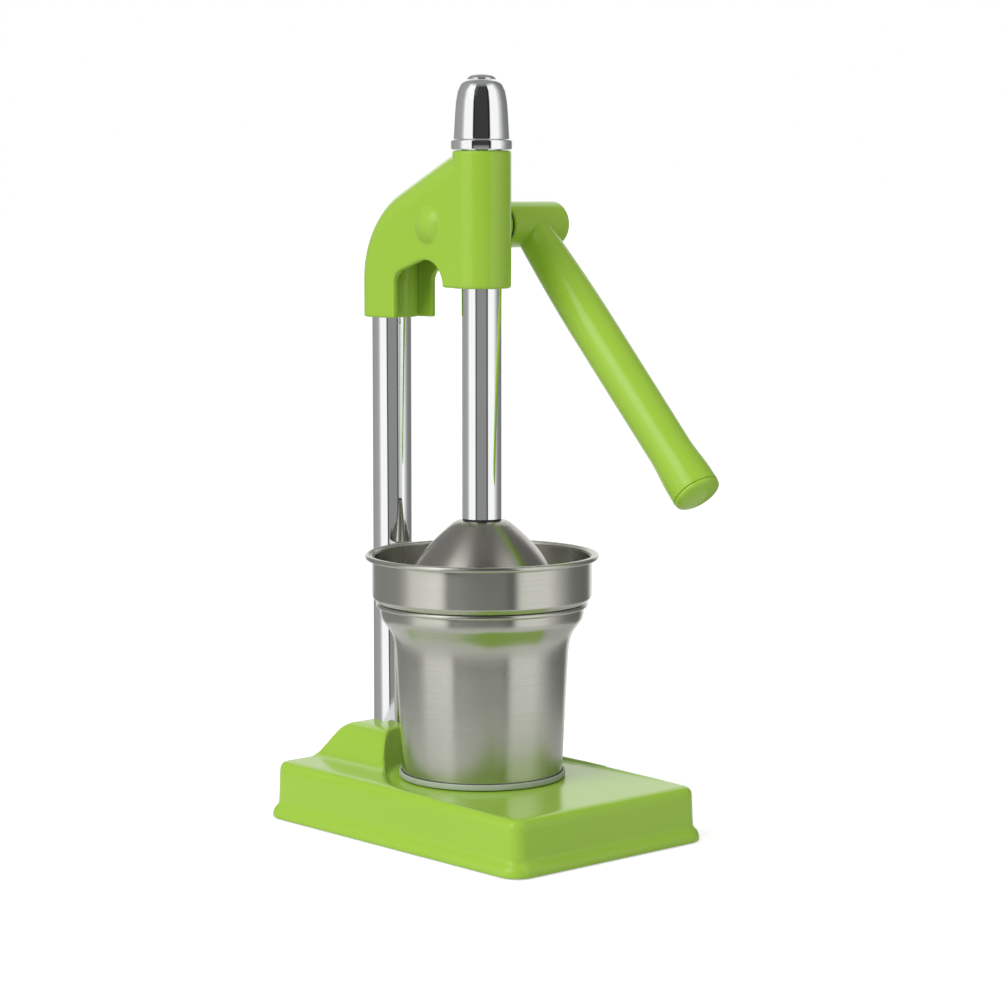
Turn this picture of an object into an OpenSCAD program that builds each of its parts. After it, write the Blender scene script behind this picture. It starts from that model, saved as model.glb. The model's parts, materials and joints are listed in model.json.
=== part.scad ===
// Lever citrus press with a rack and pinion drive.
// Origin: middle of the base at counter level, on the axis of the ram.
// +X is the lever side, +Y is the column side, +Z is up.

/* [Base] */
// Length of the base, front to back, over its flared rim
base_len = 185; // [176:1:200]
// Width of the base over its flared rim
base_w = 125; // [120:1:140]
// Height of the front deck above the counter
deck_z = 26.8; // [25:0.2:32]
// Rise of the rear shoulder above the front deck
shoulder_rise = 1.8; // [1.2:0.2:4]
// Rise of the hump round the column above the shoulder
hump_rise = 16; // [13:0.5:22]
// Width of the hump at its foot
hump_foot_w = 76; // [70:1:84]
// Width of the flat top of the hump
hump_top_w = 30; // [28:1:34]
// Wall of the cast base
base_wall = 2.5; // [2:0.1:3.2]
// Flare of the rim past the side walls
rim_out = 3; // [2.5:0.5:4.5]
// Height of the flared rim
rim_h = 6.5; // [5:0.5:9]
// Corner radius of the rim, seen from above
rim_corner_r = 10; // [6:0.5:12]
// Radius of the long upper edges
deck_edge_r = 4; // [3:0.5:4.5]
// Width of the gap between the foot of the cup and the hump
seat_margin = 6.1; // [5:0.1:7.5]
// Lean of the wall behind the cup, away from the cup
seat_lean = 20; // [10:1:22]
// Thickness of the rubber pad
pad_t = 3; // [2.8:0.1:4]
// Thickness of the steel bottom plate
plate_t = 1.2; // [0.8:0.1:1.6]
// Height of the rim above the counter, which the pad stands on
pad_stand = 0.4; // [0.2:0.1:1]
// Shank diameter of the four base screws
base_screw_d = 4; // [3:0.5:5]

/* [Column] */
// Outer diameter of the column tube
column_d = 20; // [18:0.5:22]
// Wall of the column tube
column_wall = 1.5; // [1:0.1:2]
// Diameter of the bolt that holds the column to the base
column_bolt_d = 8; // [6:0.5:9]
// Thickness of the clamp plate under the hump
clamp_t = 3; // [2:0.5:3.5]
// Depth of the column in the head
column_in_head = 27; // [22:1:29]

/* [Head] */
// Height of the top of the head above the counter
head_top_z = 328.7; // [318:0.1:345]
// Length of the front sleeve that guides the ram
sleeve_len = 65.5; // [62:0.5:70]
// Outer diameter of the front sleeve
sleeve_d = 29.2; // [28:0.2:32]
// Length from the head's top to the bottom of its column socket
socket_drop = 81.1; // [77:0.1:86]
// Outer diameter of the column socket and width of the head
head_w = 26.8; // [26:0.2:28]
// Wall of the hollow head
head_wall = 3; // [2.4:0.1:3.4]
// Radius of the arched back of the head, at its middle line
arch_r = 33.8; // [31:0.2:36]
// Slope of the head's top
web_slope = 25.4; // [22:0.2:28]
// Drop of the web's middle line below the head's top, at the ram
web_drop = 9.3; // [7:0.1:11]

/* [Drive] */
// Distance from the ram's axis to the lever shaft
shaft_y = 24; // [23.6:0.1:24.2]
// Drop of the lever shaft below the head's top
shaft_drop = 35.7; // [33:0.1:38]
// Diameter of the lever shaft
shaft_d = 12; // [10:0.5:12.5]
// Number of pinion teeth
pinion_teeth = 20; // [18:1:20]
// Module of the pinion and rack
gear_module = 1.5; // [1.4:0.02:1.5]
// Width of the pinion
pinion_w = 13; // [10:0.5:14]
// Play between the teeth of pinion and rack
backlash = 0.16; // [0.12:0.01:0.3]
// Swing of the lever from its lowest to its highest place
lever_swing = 165; // [120:1:170]
// Radial play of shafts and ram in their bushes
running_gap = 0.05; // [0.02:0.01:0.1]
// Wall of the shaft bushes
bush_wall = 2; // [1.5:0.1:2.5]

/* [Lever] */
// Reach of the hub boss of the head from the middle plane
boss_reach = 33; // [28:0.5:38]
// Length of the lever hub
hub_len = 37.8; // [34:0.1:44]
// Diameter of the lever hub
hub_d = 22.7; // [22:0.1:25]
// Distance from the hub's inner face to the arm's axis
arm_offset = 18.4; // [16:0.1:21]
// Length of the arm from the shaft axis to its domed end
arm_len = 175; // [150:1:200]
// Largest diameter of the arm, at a third of its length
arm_d = 22; // [20:0.1:22.6]
// Diameter of the arm where it leaves the hub
arm_neck_d = 18; // [17:0.1:20]
// Diameter of the arm's flared end
arm_end_d = 23.8; // [22.5:0.1:26]
// Wall of the hollow arm
arm_wall = 2.6; // [2:0.1:3]
// Angle of the lowered lever from straight down, towards the front
arm_angle = 43.2; // [35:0.2:50]

/* [Ram] */
// Diameter of the ram bar
ram_d = 19.5; // [19.2:0.1:20]
// Height of the ram's cap
cap_h = 36; // [32:0.5:42]
// Diameter of the cap's collar
cap_collar_d = 29.9; // [28.5:0.1:31]
// Diameter of the cap above its collar
cap_d = 27.6; // [25:0.1:28]
// Gap under the cap with the lever down
cap_gap = 0.3; // [0.3:0.1:1]

/* [Bell] */
// Outer diameter of the bell at its mouth
bell_d = 79; // [74:0.5:80]
// Height of the bell
bell_h = 33.5; // [31:0.5:36]
// Radius of the bell's curved side
bell_curve_r = 94.4; // [80:0.2:110]
// Sheet thickness of the bell
bell_t = 1.2; // [0.8:0.1:1.6]
// Space left for the peel between bell and strainer dome
peel_gap = 7; // [6.6:0.1:7.6]

/* [Cup and strainer] */
// Diameter of the cup's wall at its foot
cup_foot_d = 77.8; // [74:0.2:82]
// Diameter of the cup's straight wall under its shoulder
cup_waist_d = 83.8; // [82:0.2:86]
// Diameter of the cup's mouth
cup_mouth_d = 98.6; // [96:0.2:102]
// Height of the cup
cup_h = 83.7; // [76:0.1:92]
// Radius of the rolled bead round the cup's mouth
cup_bead_r = 1.2; // [0.9:0.1:1.5]
// Sheet thickness of cup, funnel and dome
sheet_t = 0.8; // [0.6:0.1:1]
// Height of the rubber ring round the cup's foot
foot_ring_h = 2.9; // [2.6:0.1:5]
// Diameter of the funnel's band
funnel_d = 106.2; // [105:0.2:109]
// Height of the funnel from its seat to its rim
funnel_h = 23.1; // [21:0.1:28]
// Radius of the rolled bead round the funnel's rim
funnel_bead_r = 1.4; // [1:0.1:1.7]
// Gap between the funnel's rim and the column
rim_gap = 0.35; // [0.3:0.05:1]
// Depth of the funnel's trough below its seat
trough_depth = 5.4; // [4:0.1:7]
// Diameter of the juice holes in the dome
dome_hole_d = 4; // [3:0.2:5]

/* [Hidden] */

$fn = 96;

// Small named clearances
seat_gap = 0.3;
face_gap = 0.05;
fit_gap = 0.02;

// Stack of heights, from the counter up
shoulder_z = deck_z + shoulder_rise;
hump_z = shoulder_z + hump_rise;
ring_z = deck_z + seat_gap;
cup_z = ring_z + 1.7;
cup_bead_z = cup_z + cup_h - cup_bead_r;
funnel_seat_z = cup_z + cup_h + seat_gap;
funnel_bead_z = funnel_seat_z + funnel_h - funnel_bead_r;
floor_z = funnel_seat_z - trough_depth;
bell_mouth_z = floor_z + 11.1;
bell_top_z = bell_mouth_z + bell_h;
seal_t = 0.8;
ram_foot_z = bell_top_z + seal_t;
cap_z = head_top_z + cap_gap;
sleeve_z = head_top_z - sleeve_len;
socket_z = head_top_z - socket_drop;
shaft_z = head_top_z - shaft_drop;

// Radii and places worked out from the driving sizes
column_r = column_d / 2;
funnel_lip = 1.457 * funnel_bead_r;
funnel_rim_r = funnel_d / 2 + funnel_lip + funnel_bead_r;
column_y = funnel_rim_r + rim_gap + column_r;
cup_foot_r = cup_foot_d / 2;
cup_mouth_r = cup_mouth_d / 2;
ring_r = cup_foot_r + 1.5;
seat_r = ring_r + seat_margin;
ram_r = ram_d / 2;
head_r = head_w / 2;
sleeve_r = sleeve_d / 2;
guide_bore_r = sleeve_r - head_wall;
shaft_r = shaft_d / 2;
bush_r = shaft_r + running_gap + bush_wall;
boss_r = bush_r + 2.45;

// Base: the wall leans in by its draft, and the corner posts hold the screws
wall_draft = 0.8;
post_r = 5;
post_x = base_w / 2 - 15;
post_y = base_len / 2 - 16;
plate_z = pad_t;
screw_r = base_screw_d / 2;
screw_len = deck_z * 0.42;
sweep_r = base_w / 2 - rim_out - 4;
sweep_y = -14;
hump_slope = 45;
hump_back_y = base_len / 2 - 16.5;

// Column joint inside the hump
socket_floor_z = shoulder_z - 6.5;
floor_t = 4;
clamp_z = socket_floor_z - floor_t - clamp_t;
washer_t = 1.6;
bolt_r = column_bolt_d / 2;
plug_len = column_d;
boss_wall = 4;
clamp_w = 2.5 * column_d;
clamp_front_y = column_y - 0.8 * column_d;
clamp_back_y = base_len / 2 - rim_out - base_wall - wall_draft - 3;

// Head: the middle line runs up the column, round the arch and down to the sleeve
arch_turn = 90 - web_slope;
arch_y = column_y - arch_r;
arch_end_y = arch_y + arch_r * cos(arch_turn);
arch_z = head_top_z - web_drop - arch_end_y * tan(web_slope) - arch_r * sin(arch_turn);
arch_end_z = arch_z + arch_r * sin(arch_turn);
lip = 4.1;
cut_a_r = 13;
cut_a = [shaft_y + 2.5, sleeve_z + 0.2];
cut_b_r = 6;
cut_b = [column_y - head_r - lip - cut_b_r, sleeve_z + 2];
set_screw_r = 3;
dome_r = 9.25;
dome_rise = 3.5;
bush_inner_x = pinion_w / 2 + 1;
lip_t = 2.2;
upper_bush_len = ram_d * 0.77;
lower_bush_len = ram_d * 0.64;

// Gear geometry: the rack's pitch plane faces the pinion
pitch_r = gear_module * pinion_teeth / 2;
tip_r = pitch_r + gear_module;
root_r = pitch_r - 1.25 * gear_module;
pressure = 20;
base_circle_r = pitch_r * cos(pressure);
pitch = PI * gear_module;
rack_plane_y = shaft_y - pitch_r;
ram_travel = pitch_r * lever_swing * PI / 180;
rack_below = floor((ram_travel + 9) / pitch);
rack_above = 2;

// Lever
thrust_t = 0.8;
hub_x = boss_reach + thrust_t + 2 * face_gap;
hub_r = hub_d / 2;
arm_x = hub_x + arm_offset;
arm_r = arm_d / 2;
arm_end_r = arm_end_d / 2;
plug_face = arm_len - 0.38 * arm_end_r;
plug_tongue = 1.7 * arm_end_r;
arm_bore_r = arm_neck_d / 2 + 1 - arm_wall;
shaft_end_x = hub_x + hub_len - 11;
hub_screw_r = 3;
key_w = 4;
key_len = 18;
key_x = hub_x + 4;

// Cap, bell and dome
cap_r = cap_d / 2;
collar_h = 4.5;
stud_r = 4;
ram_in_cap = 11;
bell_r = bell_d / 2;
bell_screw_r = 3;
shoulder_r = 14;
shoulder_top = 1.43;
bell_axis = circle_centre([bell_r, bell_mouth_z], [shoulder_r, bell_top_z - shoulder_top], bell_curve_r);
dome_curve_r = bell_curve_r - bell_t - peel_gap;
dome_tip_z = bell_top_z - 10.5;
dome_foot_r = bell_axis[0] + sqrt(pow(dome_curve_r, 2) - pow(floor_z + 2 * sheet_t - bell_axis[1], 2));
dome_flange_r = dome_foot_r + 4.5;

function circle_centre(p, q, r) =
    let (m = (p + q) / 2, d = q - p, h = sqrt(r * r - norm(d) * norm(d) / 4))
    m + h * [-d[1], d[0]] / norm(d);
function arc(c, r, a, b, n = 8) =
    [for (i = [0:n]) c + r * [cos(a + (b - a) * i / n), sin(a + (b - a) * i / n)]];
function backwards(p) = [for (i = [len(p) - 1:-1:0]) p[i]];
function direction(p, i) = let (d = p[min(i + 1, len(p) - 1)] - p[max(i - 1, 0)]) d / norm(d);
function sheet(p, t) = concat(p, backwards([for (i = [0:len(p) - 1])
    p[i] + t * [-direction(p, i)[1], direction(p, i)[0]]]));
function involute(a) = tan(a) * 180 / PI - a;

module revolve(points) { rotate_extrude() polygon(points); }
module disc(r, h, z = 0, bore = 0) {
    translate([0, 0, z]) difference() {
        cylinder(r = r, h = h);
        if (bore > 0) translate([0, 0, -1]) cylinder(r = bore, h = h + 2);
    }
}
// Stands a shape drawn in Y and Z on edge, centred on X
module side_on(w) { rotate([90, 0, 90]) linear_extrude(w, center = true) children(); }
// Turns a shape that stands on Z to lie along X, from the lever shaft's axis
module on_shaft() { translate([0, shaft_y, shaft_z]) rotate([0, 90, 0]) children(); }
module on_arm() { translate([arm_x, shaft_y, shaft_z]) rotate([180 - arm_angle, 0, 0]) children(); }
module rounded_plate(l, w, r, h, z) {
    translate([0, 0, z]) linear_extrude(h) {
        square([w - 2 * r, l], center = true);
        square([w, l - 2 * r], center = true);
        for (sx = [-1, 1], sy = [-1, 1])
            translate([sx * (w / 2 - r), sy * (l / 2 - r)]) circle(r = r);
    }
}
module at_posts() { for (sx = [-1, 1], sy = [-1, 1]) translate([sx * post_x, sy * post_y, 0]) children(); }

// Sides of the base as [inset from the rim, height]: flared rim, outer wall and hollow
function rim_side() = concat(
    [[0.5, pad_stand], [0, pad_stand + 0.5], [0, pad_stand + 1.2]],
    [for (a = [25:25:75]) [rim_out * (1 - cos(a)), pad_stand + 1.2 + (rim_h - 1.6) * sin(a)]],
    [[rim_out + 1, rim_h + 0.6]]);
function wall_side(top) = concat(
    [[rim_out, pad_stand + 0.8]],
    arc([rim_out + wall_draft + deck_edge_r, top - deck_edge_r], deck_edge_r, 180, 90, 5));
function hollow_side(top) = [
    [rim_out + base_wall, -1], [rim_out + base_wall + wall_draft, top - 4],
    [rim_out + base_wall + wall_draft + 4, top]];

module moulded_slab(side, corner) {
    low = side[0][1];
    high = side[len(side) - 1][1];
    for (sx = [-1, 1], sy = [-1, 1])
        translate([sx * (base_w / 2 - corner), sy * (base_len / 2 - corner), 0])
            revolve(concat([[0, low]], [for (p = side) [corner - p[0], p[1]]], [[0, high]]));
    side_on(base_w - 2 * corner) slab_section(side, base_len / 2);
    rotate([0, 0, 90]) side_on(base_len - 2 * corner) slab_section(side, base_w / 2);
}
module slab_section(side, half) {
    polygon(concat([for (p = side) [half - p[0], p[1]]], backwards([for (p = side) [p[0] - half, p[1]]])));
}

// Round the seat of the cup the shoulder and the hump are scooped away
module scoop(grow) {
    lean = tan(seat_lean);
    translate([0, 0, -1])
        cylinder(r1 = seat_r + grow - (deck_z + 1) * lean,
            r2 = seat_r + grow + (hump_z - deck_z + 9) * lean, h = hump_z + 10);
    translate([0, sweep_y, -1]) cylinder(r = sweep_r + grow, h = hump_z + 10);
}
module hump_block(t) {
    top_r = 10;
    foot_r = 6;
    top_x = hump_top_w / 2;
    foot_x = hump_foot_w / 2 - t;
    half = concat(
        [[foot_x, deck_z - 8]],
        arc([foot_x, shoulder_z - t + foot_r - 0.2], foot_r, 270, 270 - hump_slope, 3),
        arc([top_x, hump_z - t - top_r], top_r, 90 - hump_slope, 90, 4));
    back_r = 8;
    back = concat(
        [[0, deck_z - 8], [base_len / 2 - rim_out - 1.4 - t, deck_z - 8]],
        [[base_len / 2 - rim_out - wall_draft - 1.2 - t, deck_z - 2]],
        arc([hump_back_y, hump_z - t - back_r], back_r, 28, 90, 4),
        [[0, hump_z - t]]);
    intersection() {
        translate([0, base_len / 2, 0]) rotate([90, 0, 0]) linear_extrude(base_len / 2)
            polygon(concat(half, backwards([for (p = half) [-p[0], p[1]]])));
        side_on(base_w) polygon(back);
    }
}
module base_outside() {
    moulded_slab(rim_side(), rim_corner_r);
    moulded_slab(wall_side(deck_z), rim_corner_r);
    difference() {
        union() {
            intersection() {
                moulded_slab(wall_side(shoulder_z), rim_corner_r);
                translate([-base_w / 2, sweep_y, deck_z - 9]) cube([base_w, base_len, 30]);
            }
            hump_block(0);
        }
        scoop(0);
    }
}
module base_inside() {
    moulded_slab(hollow_side(deck_z - base_wall), rim_out + base_wall + wall_draft + 6);
    difference() {
        hump_block(base_wall);
        scoop(base_wall);
    }
}
module base_shell() {
    color("yellowgreen") difference() {
        union() {
            difference() {
                base_outside();
                base_inside();
            }
            intersection() {
                base_outside();
                union() {
                    at_posts() disc(post_r, deck_z, plate_z + plate_t);
                    translate([0, column_y, 0])
                        disc(column_r + boss_wall, hump_z, socket_floor_z - floor_t);
                }
            }
        }
        translate([0, column_y, 0]) {
            disc(column_r + face_gap, hump_z, socket_floor_z);
            disc(bolt_r + 0.3, hump_z, 1);
        }
        at_posts() disc(screw_r + fit_gap, screw_len + 1, plate_z);
    }
}
module bottom_plate() {
    inset = rim_out + base_wall + 0.5;
    color("silver") difference() {
        rounded_plate(base_len - 2 * inset, base_w - 2 * inset, 6, plate_t, plate_z);
        at_posts() disc(screw_r + 0.2, deck_z, -1);
    }
}
module non_slip_pad() {
    inset = rim_out + base_wall + 1;
    color("dimgray") difference() {
        rounded_plate(base_len - 2 * inset, base_w - 2 * inset, 6, pad_t, 0);
        at_posts() disc(screw_r + 2.6, deck_z, -1);
    }
}
module base_screws() {
    color("silver") at_posts() {
        disc(screw_r, screw_len, plate_z - 0.5);
        difference() {
            disc(screw_r + 1.9, 2.2, plate_z - 2.2);
            disc(1.2, 1.2, plate_z - 3, 0);
        }
    }
}

module column_tube() {
    color("gainsboro") translate([0, column_y, 0])
        disc(column_r, socket_z + column_in_head - 0.2 - socket_floor_z, socket_floor_z,
            column_r - column_wall);
}
module column_foot_plug() {
    color("dimgray") translate([0, column_y, 0])
        disc(column_r - column_wall - fit_gap, plug_len, socket_floor_z, bolt_r + fit_gap);
}
module column_clamp_plate() {
    color("silver") difference() {
        translate([-clamp_w / 2, clamp_front_y, clamp_z])
            cube([clamp_w, clamp_back_y - clamp_front_y, clamp_t]);
        translate([0, column_y, 0]) disc(bolt_r + 0.3, hump_z);
    }
}
module column_washer() {
    color("silver") translate([0, column_y, 0]) disc(bolt_r * 2, washer_t, clamp_z - washer_t, bolt_r + 0.2);
}
module column_bolt() {
    head_z = clamp_z - washer_t;
    color("darkgray") translate([0, column_y, 0]) {
        disc(bolt_r, floor_t + clamp_t + washer_t + plug_len - 3, head_z);
        translate([0, 0, head_z - 4.5]) cylinder(r = bolt_r * 1.8, h = 4.5, $fn = 6);
    }
}

// The head's outside is a bar swept along its middle line, with a plate of the same width below
function head_profile(front, out) = concat(
    [[0, front], [column_y + out, front]],
    arc([arch_y, arch_z], arch_r + out, 0, arch_turn, 10),
    [[0, head_top_z - web_drop + out / cos(web_slope)]]);
module head_sweep() {
    r = head_r;
    translate([0, column_y, socket_z]) cylinder(r = r, h = arch_z - socket_z);
    translate([0, arch_y, arch_z]) rotate([90, 0, 90]) rotate_extrude(angle = arch_turn)
        translate([arch_r, 0]) circle(r = r);
    translate([0, arch_end_y, arch_end_z]) rotate([arch_turn, 0, 0])
        cylinder(r = r, h = arch_end_y / sin(arch_turn));
    side_on(2 * r - 0.4) polygon(head_profile(socket_z, 0));
}
module arch_opening() {
    d = cut_b - cut_a;
    lean = atan2(d[1], d[0]) + acos((cut_a_r - cut_b_r) / norm(d));
    toward = [cos(lean), sin(lean)];
    side_on(head_w + 10) {
        translate(cut_a) circle(r = cut_a_r);
        translate(cut_b) circle(r = cut_b_r);
        polygon([[-30, socket_z - 5], [-30, sleeve_z + 0.2], cut_a, cut_a + cut_a_r * toward,
            cut_b + cut_b_r * toward, cut_b, [cut_b[0] + cut_b_r, cut_b[1]],
            [cut_b[0] + cut_b_r, socket_z - 5]]);
    }
}
module head_hollow() {
    difference() {
        side_on(2 * (head_r - head_wall)) polygon(head_profile(socket_z - 1, head_r * 0.4));
        translate([0, column_y, 0]) disc(head_r, socket_z + column_in_head + head_wall);
        disc(sleeve_r, head_top_z + 10);
    }
}
// Low domed boss that covers the blind end of the lever shaft
module side_dome() {
    ball_r = (dome_r * dome_r + dome_rise * dome_rise) / (2 * dome_rise);
    edge = asin(dome_r / ball_r);
    on_shaft() mirror([0, 0, 1]) translate([0, 0, head_r]) revolve(concat(
        [[0, -1], [dome_r, -1]],
        [for (i = [0:5]) ball_r * [sin(edge * (6 - i) / 6), cos(edge * (6 - i) / 6) - 1]
            + [0, dome_rise]],
        [[0, dome_rise]]));
}
module head_housing() {
    color("yellowgreen") difference() {
        union() {
            difference() {
                intersection() {
                    head_sweep();
                    translate([-50, 0, 0]) cube([100, 200, head_top_z]);
                }
                head_hollow();
                arch_opening();
            }
            disc(sleeve_r, sleeve_len, sleeve_z);
            on_shaft() {
                disc(boss_r, boss_reach - bush_inner_x, bush_inner_x);
                disc(boss_r - 0.8, head_r - bush_inner_x - 1, -head_r + 1);
            }
            side_dome();
        }
        disc(guide_bore_r, sleeve_len + 1 - lip_t, sleeve_z - 1);
        disc(ram_r + 0.5, 100, head_top_z - 50);
        on_shaft() {
            disc(tip_r + 0.9, 2 * bush_inner_x, -bush_inner_x);
            disc(bush_r + fit_gap, boss_reach, 0);
            disc(bush_r + fit_gap, head_r, -head_r + 0.4);
        }
        translate([0, column_y, 0]) disc(column_r + face_gap, column_in_head + 5, socket_z - 5);
        at_set_screws() cylinder(r = set_screw_r + fit_gap, h = 30);
    }
}
module at_set_screws() {
    for (z = [9, 19]) translate([0, column_y, socket_z + z]) rotate([-90, 0, 0]) children();
}
module head_set_screws() {
    screw_len = head_r - column_r - 0.6;
    color("dimgray") at_set_screws() difference() {
        disc(set_screw_r, screw_len, column_r + 0.03);
        translate([0, 0, column_r + screw_len - 1.4]) cylinder(r = 1.6, h = 3, $fn = 6);
    }
}
module ram_bush_upper() {
    color("wheat") disc(guide_bore_r - fit_gap, upper_bush_len, head_top_z - lip_t - upper_bush_len - 0.05,
        ram_r + running_gap);
}
module ram_bush_lower() {
    color("wheat") disc(guide_bore_r - fit_gap, lower_bush_len, sleeve_z + 0.5, ram_r + running_gap);
}
module shaft_bush_left() {
    color("peru") on_shaft() disc(bush_r, head_r - bush_inner_x - 0.4, -head_r + 0.4, shaft_r + running_gap);
}
module shaft_bush_right() {
    color("peru") on_shaft() disc(bush_r, boss_reach - bush_inner_x, bush_inner_x, shaft_r + running_gap);
}
module thrust_washer() {
    color("black") on_shaft() disc(boss_r - 0.6, thrust_t, boss_reach + face_gap, shaft_r + 0.2);
}

module rack_gaps() {
    slope = tan(pressure);
    out = ram_r - rack_plane_y + 1;
    deep = 1.25 * gear_module;
    half = pitch / 4 + backlash / 2;
    side_on(3 * ram_r) for (i = [-rack_below:rack_above])
        translate([rack_plane_y, shaft_z + (i + 0.5) * pitch])
            polygon([[-deep, -half + deep * slope], [out, -half - out * slope],
                [out, half + out * slope], [-deep, half - deep * slope]]);
}
module ram_bar() {
    color("gainsboro") difference() {
        union() {
            disc(ram_r, cap_z + ram_in_cap - ram_foot_z - 1, ram_foot_z);
            translate([0, 0, cap_z + ram_in_cap - 1]) cylinder(r1 = ram_r, r2 = ram_r - 1, h = 1);
        }
        rack_gaps();
        disc(bell_screw_r + fit_gap, 19, ram_foot_z - 1);
        disc(stud_r + fit_gap, 20, cap_z + ram_in_cap - 14);
    }
}
module ram_cap() {
    wall_top = cap_h - 13;
    outline = concat(
        [[0, 0], [cap_collar_d / 2 - 0.4, 0], [cap_collar_d / 2, 0.4], [cap_collar_d / 2, collar_h - 0.6]],
        [[cap_collar_d / 2 - 0.6, collar_h], [cap_r + 0.2, collar_h + 0.5], [cap_r, collar_h + 1.2]],
        [[cap_r - 0.9, wall_top - 5]],
        [for (a = [0:9:81]) [(cap_r - 1.4) * cos(a) , wall_top + 12.4 * sin(a)]],
        [[0, cap_h]]);
    color("gainsboro") translate([0, 0, cap_z]) difference() {
        revolve(outline);
        disc(ram_r + face_gap, ram_in_cap + 1.1, -1);
        disc(stud_r + fit_gap, 12, ram_in_cap);
    }
}
module cap_stud() {
    color("darkgray") disc(stud_r, 24, cap_z + ram_in_cap - 13.5);
}
module bell_seal() {
    color("black") disc(ram_r - 0.5, seal_t, bell_top_z, bell_screw_r + 0.2);
}
function bell_side() =
    let (c = bell_axis, low = asin((bell_mouth_z - c[1]) / bell_curve_r),
        high = asin((bell_top_z - shoulder_top - c[1]) / bell_curve_r))
    concat(arc(c, bell_curve_r, low, high, 16), [[11.6, bell_top_z - 0.35], [10.2, bell_top_z]],
        [[bell_screw_r + 0.2, bell_top_z]]);
module press_bell() {
    color("darkgray") {
        revolve(sheet(bell_side(), bell_t));
        rotate_extrude() translate([bell_r - 0.2, bell_mouth_z + 0.2]) circle(r = 1, $fn = 24);
    }
}
module bell_washer() {
    color("silver") disc(7.5, 1.2, bell_top_z - bell_t - 1.2, bell_screw_r + 0.2);
}
module bell_screw() {
    head_z = bell_top_z - bell_t - 1.2;
    color("silver") {
        disc(bell_screw_r, 17, head_z);
        difference() {
            disc(5, 3.2, head_z - 3.2);
            translate([0, 0, head_z - 4]) cylinder(r = 2, h = 2.4, $fn = 6);
        }
    }
}

module lever_body() {
    flare = plug_face - 2.2 * arm_end_r;
    hub_end = hub_len - 4;
    belly = flare * 0.46;
    outline = concat(
        [[0, 0]],
        [for (i = [0:6]) let (t = i / 6)
            [arm_neck_d / 2 + (arm_r - arm_neck_d / 2) * sin(90 * t), belly * t]],
        [[arm_r - 0.25, flare]],
        [for (i = [1:6]) let (t = i / 6)
            [arm_r - 0.25 + (arm_end_r - arm_r + 0.25) * t * t * (3 - 2 * t),
                flare + (plug_face - 6 - flare) * t]],
        [[arm_end_r, plug_face - 2.5], [arm_end_r - 0.35, plug_face - 0.1], [0, plug_face - 0.1]]);
    color("yellowgreen") difference() {
        union() {
            on_shaft() translate([0, 0, hub_x]) revolve(concat(
                [[0, 0], [hub_r - 0.5, 0], [hub_r, 0.5]],
                arc([hub_r - 4, hub_end], 4, 0, 90, 6), [[0, hub_len]]));
            on_arm() revolve(outline);
        }
        on_arm() disc(arm_bore_r, arm_len, hub_r + 12);
        on_shaft() {
            disc(shaft_r + fit_gap, shaft_end_x - hub_x + 1.5, hub_x - 1);
            disc(hub_screw_r + 0.3, 60, hub_x);
            disc(8, 20, hub_x + hub_len - 8);
        }
        translate([key_x, shaft_y - key_w / 2, shaft_z]) cube([key_len + 0.1, key_w, shaft_r + 2]);
    }
}
module lever_end_plug() {
    rise = arm_len - plug_face - 0.1;
    edge = arm_end_r - 0.35;
    color("olivedrab") on_arm() {
        revolve(concat(
            [[0, plug_face]], [[edge, plug_face], [edge, plug_face + 0.8]],
            [for (a = [10:10:80]) [edge * cos(a), plug_face + 0.8 + (rise - 0.8) * sin(a)]],
            [[0, plug_face + rise]]));
        disc(arm_bore_r - face_gap, plug_tongue + 2, plug_face - plug_tongue);
    }
}
module pinion_shaft() {
    color("darkgray") difference() {
        on_shaft() disc(shaft_r, shaft_end_x + head_r - 1, -head_r + 1);
        on_shaft() disc(hub_screw_r + fit_gap, 20, shaft_end_x - 16);
        translate([key_x, shaft_y - key_w / 2, shaft_z + shaft_r - 2.2]) cube([key_len + 0.1, key_w, 5]);
        translate([0, shaft_y, shaft_z - 20]) cylinder(r = 1.5 + fit_gap, h = 40);
    }
}
function half_tooth(r) =
    90 / pinion_teeth + involute(pressure) - (r > base_circle_r ? involute(acos(base_circle_r / r)) : 0)
    - backlash * 90 / (PI * pitch_r);
function tooth_radii() = concat([root_r], [for (i = [0:7]) base_circle_r + (tip_r - base_circle_r) * i / 7]);
function tooth(at) = let (rs = tooth_radii()) concat(
    [for (r = rs) r * [cos(at - half_tooth(r)), sin(at - half_tooth(r))]],
    backwards([for (r = rs) r * [cos(at + half_tooth(r)), sin(at + half_tooth(r))]]));
module pinion_gear() {
    step = 360 / pinion_teeth;
    color("gray") difference() {
        translate([0, shaft_y, shaft_z]) side_on(pinion_w)
            polygon([for (i = [0:pinion_teeth - 1]) each tooth(180 + step / 2 + i * step)]);
        on_shaft() disc(shaft_r + fit_gap, pinion_w + 2, -pinion_w / 2 - 1);
        translate([0, shaft_y, shaft_z - 20]) cylinder(r = 1.5 + fit_gap, h = 40);
    }
}
module pinion_pin() {
    color("silver") translate([0, shaft_y, shaft_z - root_r + 0.5]) cylinder(r = 1.5, h = 2 * root_r - 1);
}
module drive_key() {
    color("silver")
        translate([key_x + 0.05, shaft_y - key_w / 2 + fit_gap, shaft_z + shaft_r - 2.2 + fit_gap])
        cube([key_len, key_w - 2 * fit_gap, 4.2 - 2 * fit_gap]);
}
module hub_washer() {
    color("silver") on_shaft() disc(7.2, 1.2, hub_x + hub_len - 8, hub_screw_r + 0.2);
}
module hub_screw() {
    seat_x = hub_x + hub_len - 8 + 1.2;
    color("silver") on_shaft() {
        disc(hub_screw_r, 17, seat_x - 16.9);
        difference() {
            disc(5, 4, seat_x);
            translate([0, 0, seat_x + 1.4]) cylinder(r = 2.3, h = 6, $fn = 6);
        }
    }
}

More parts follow.
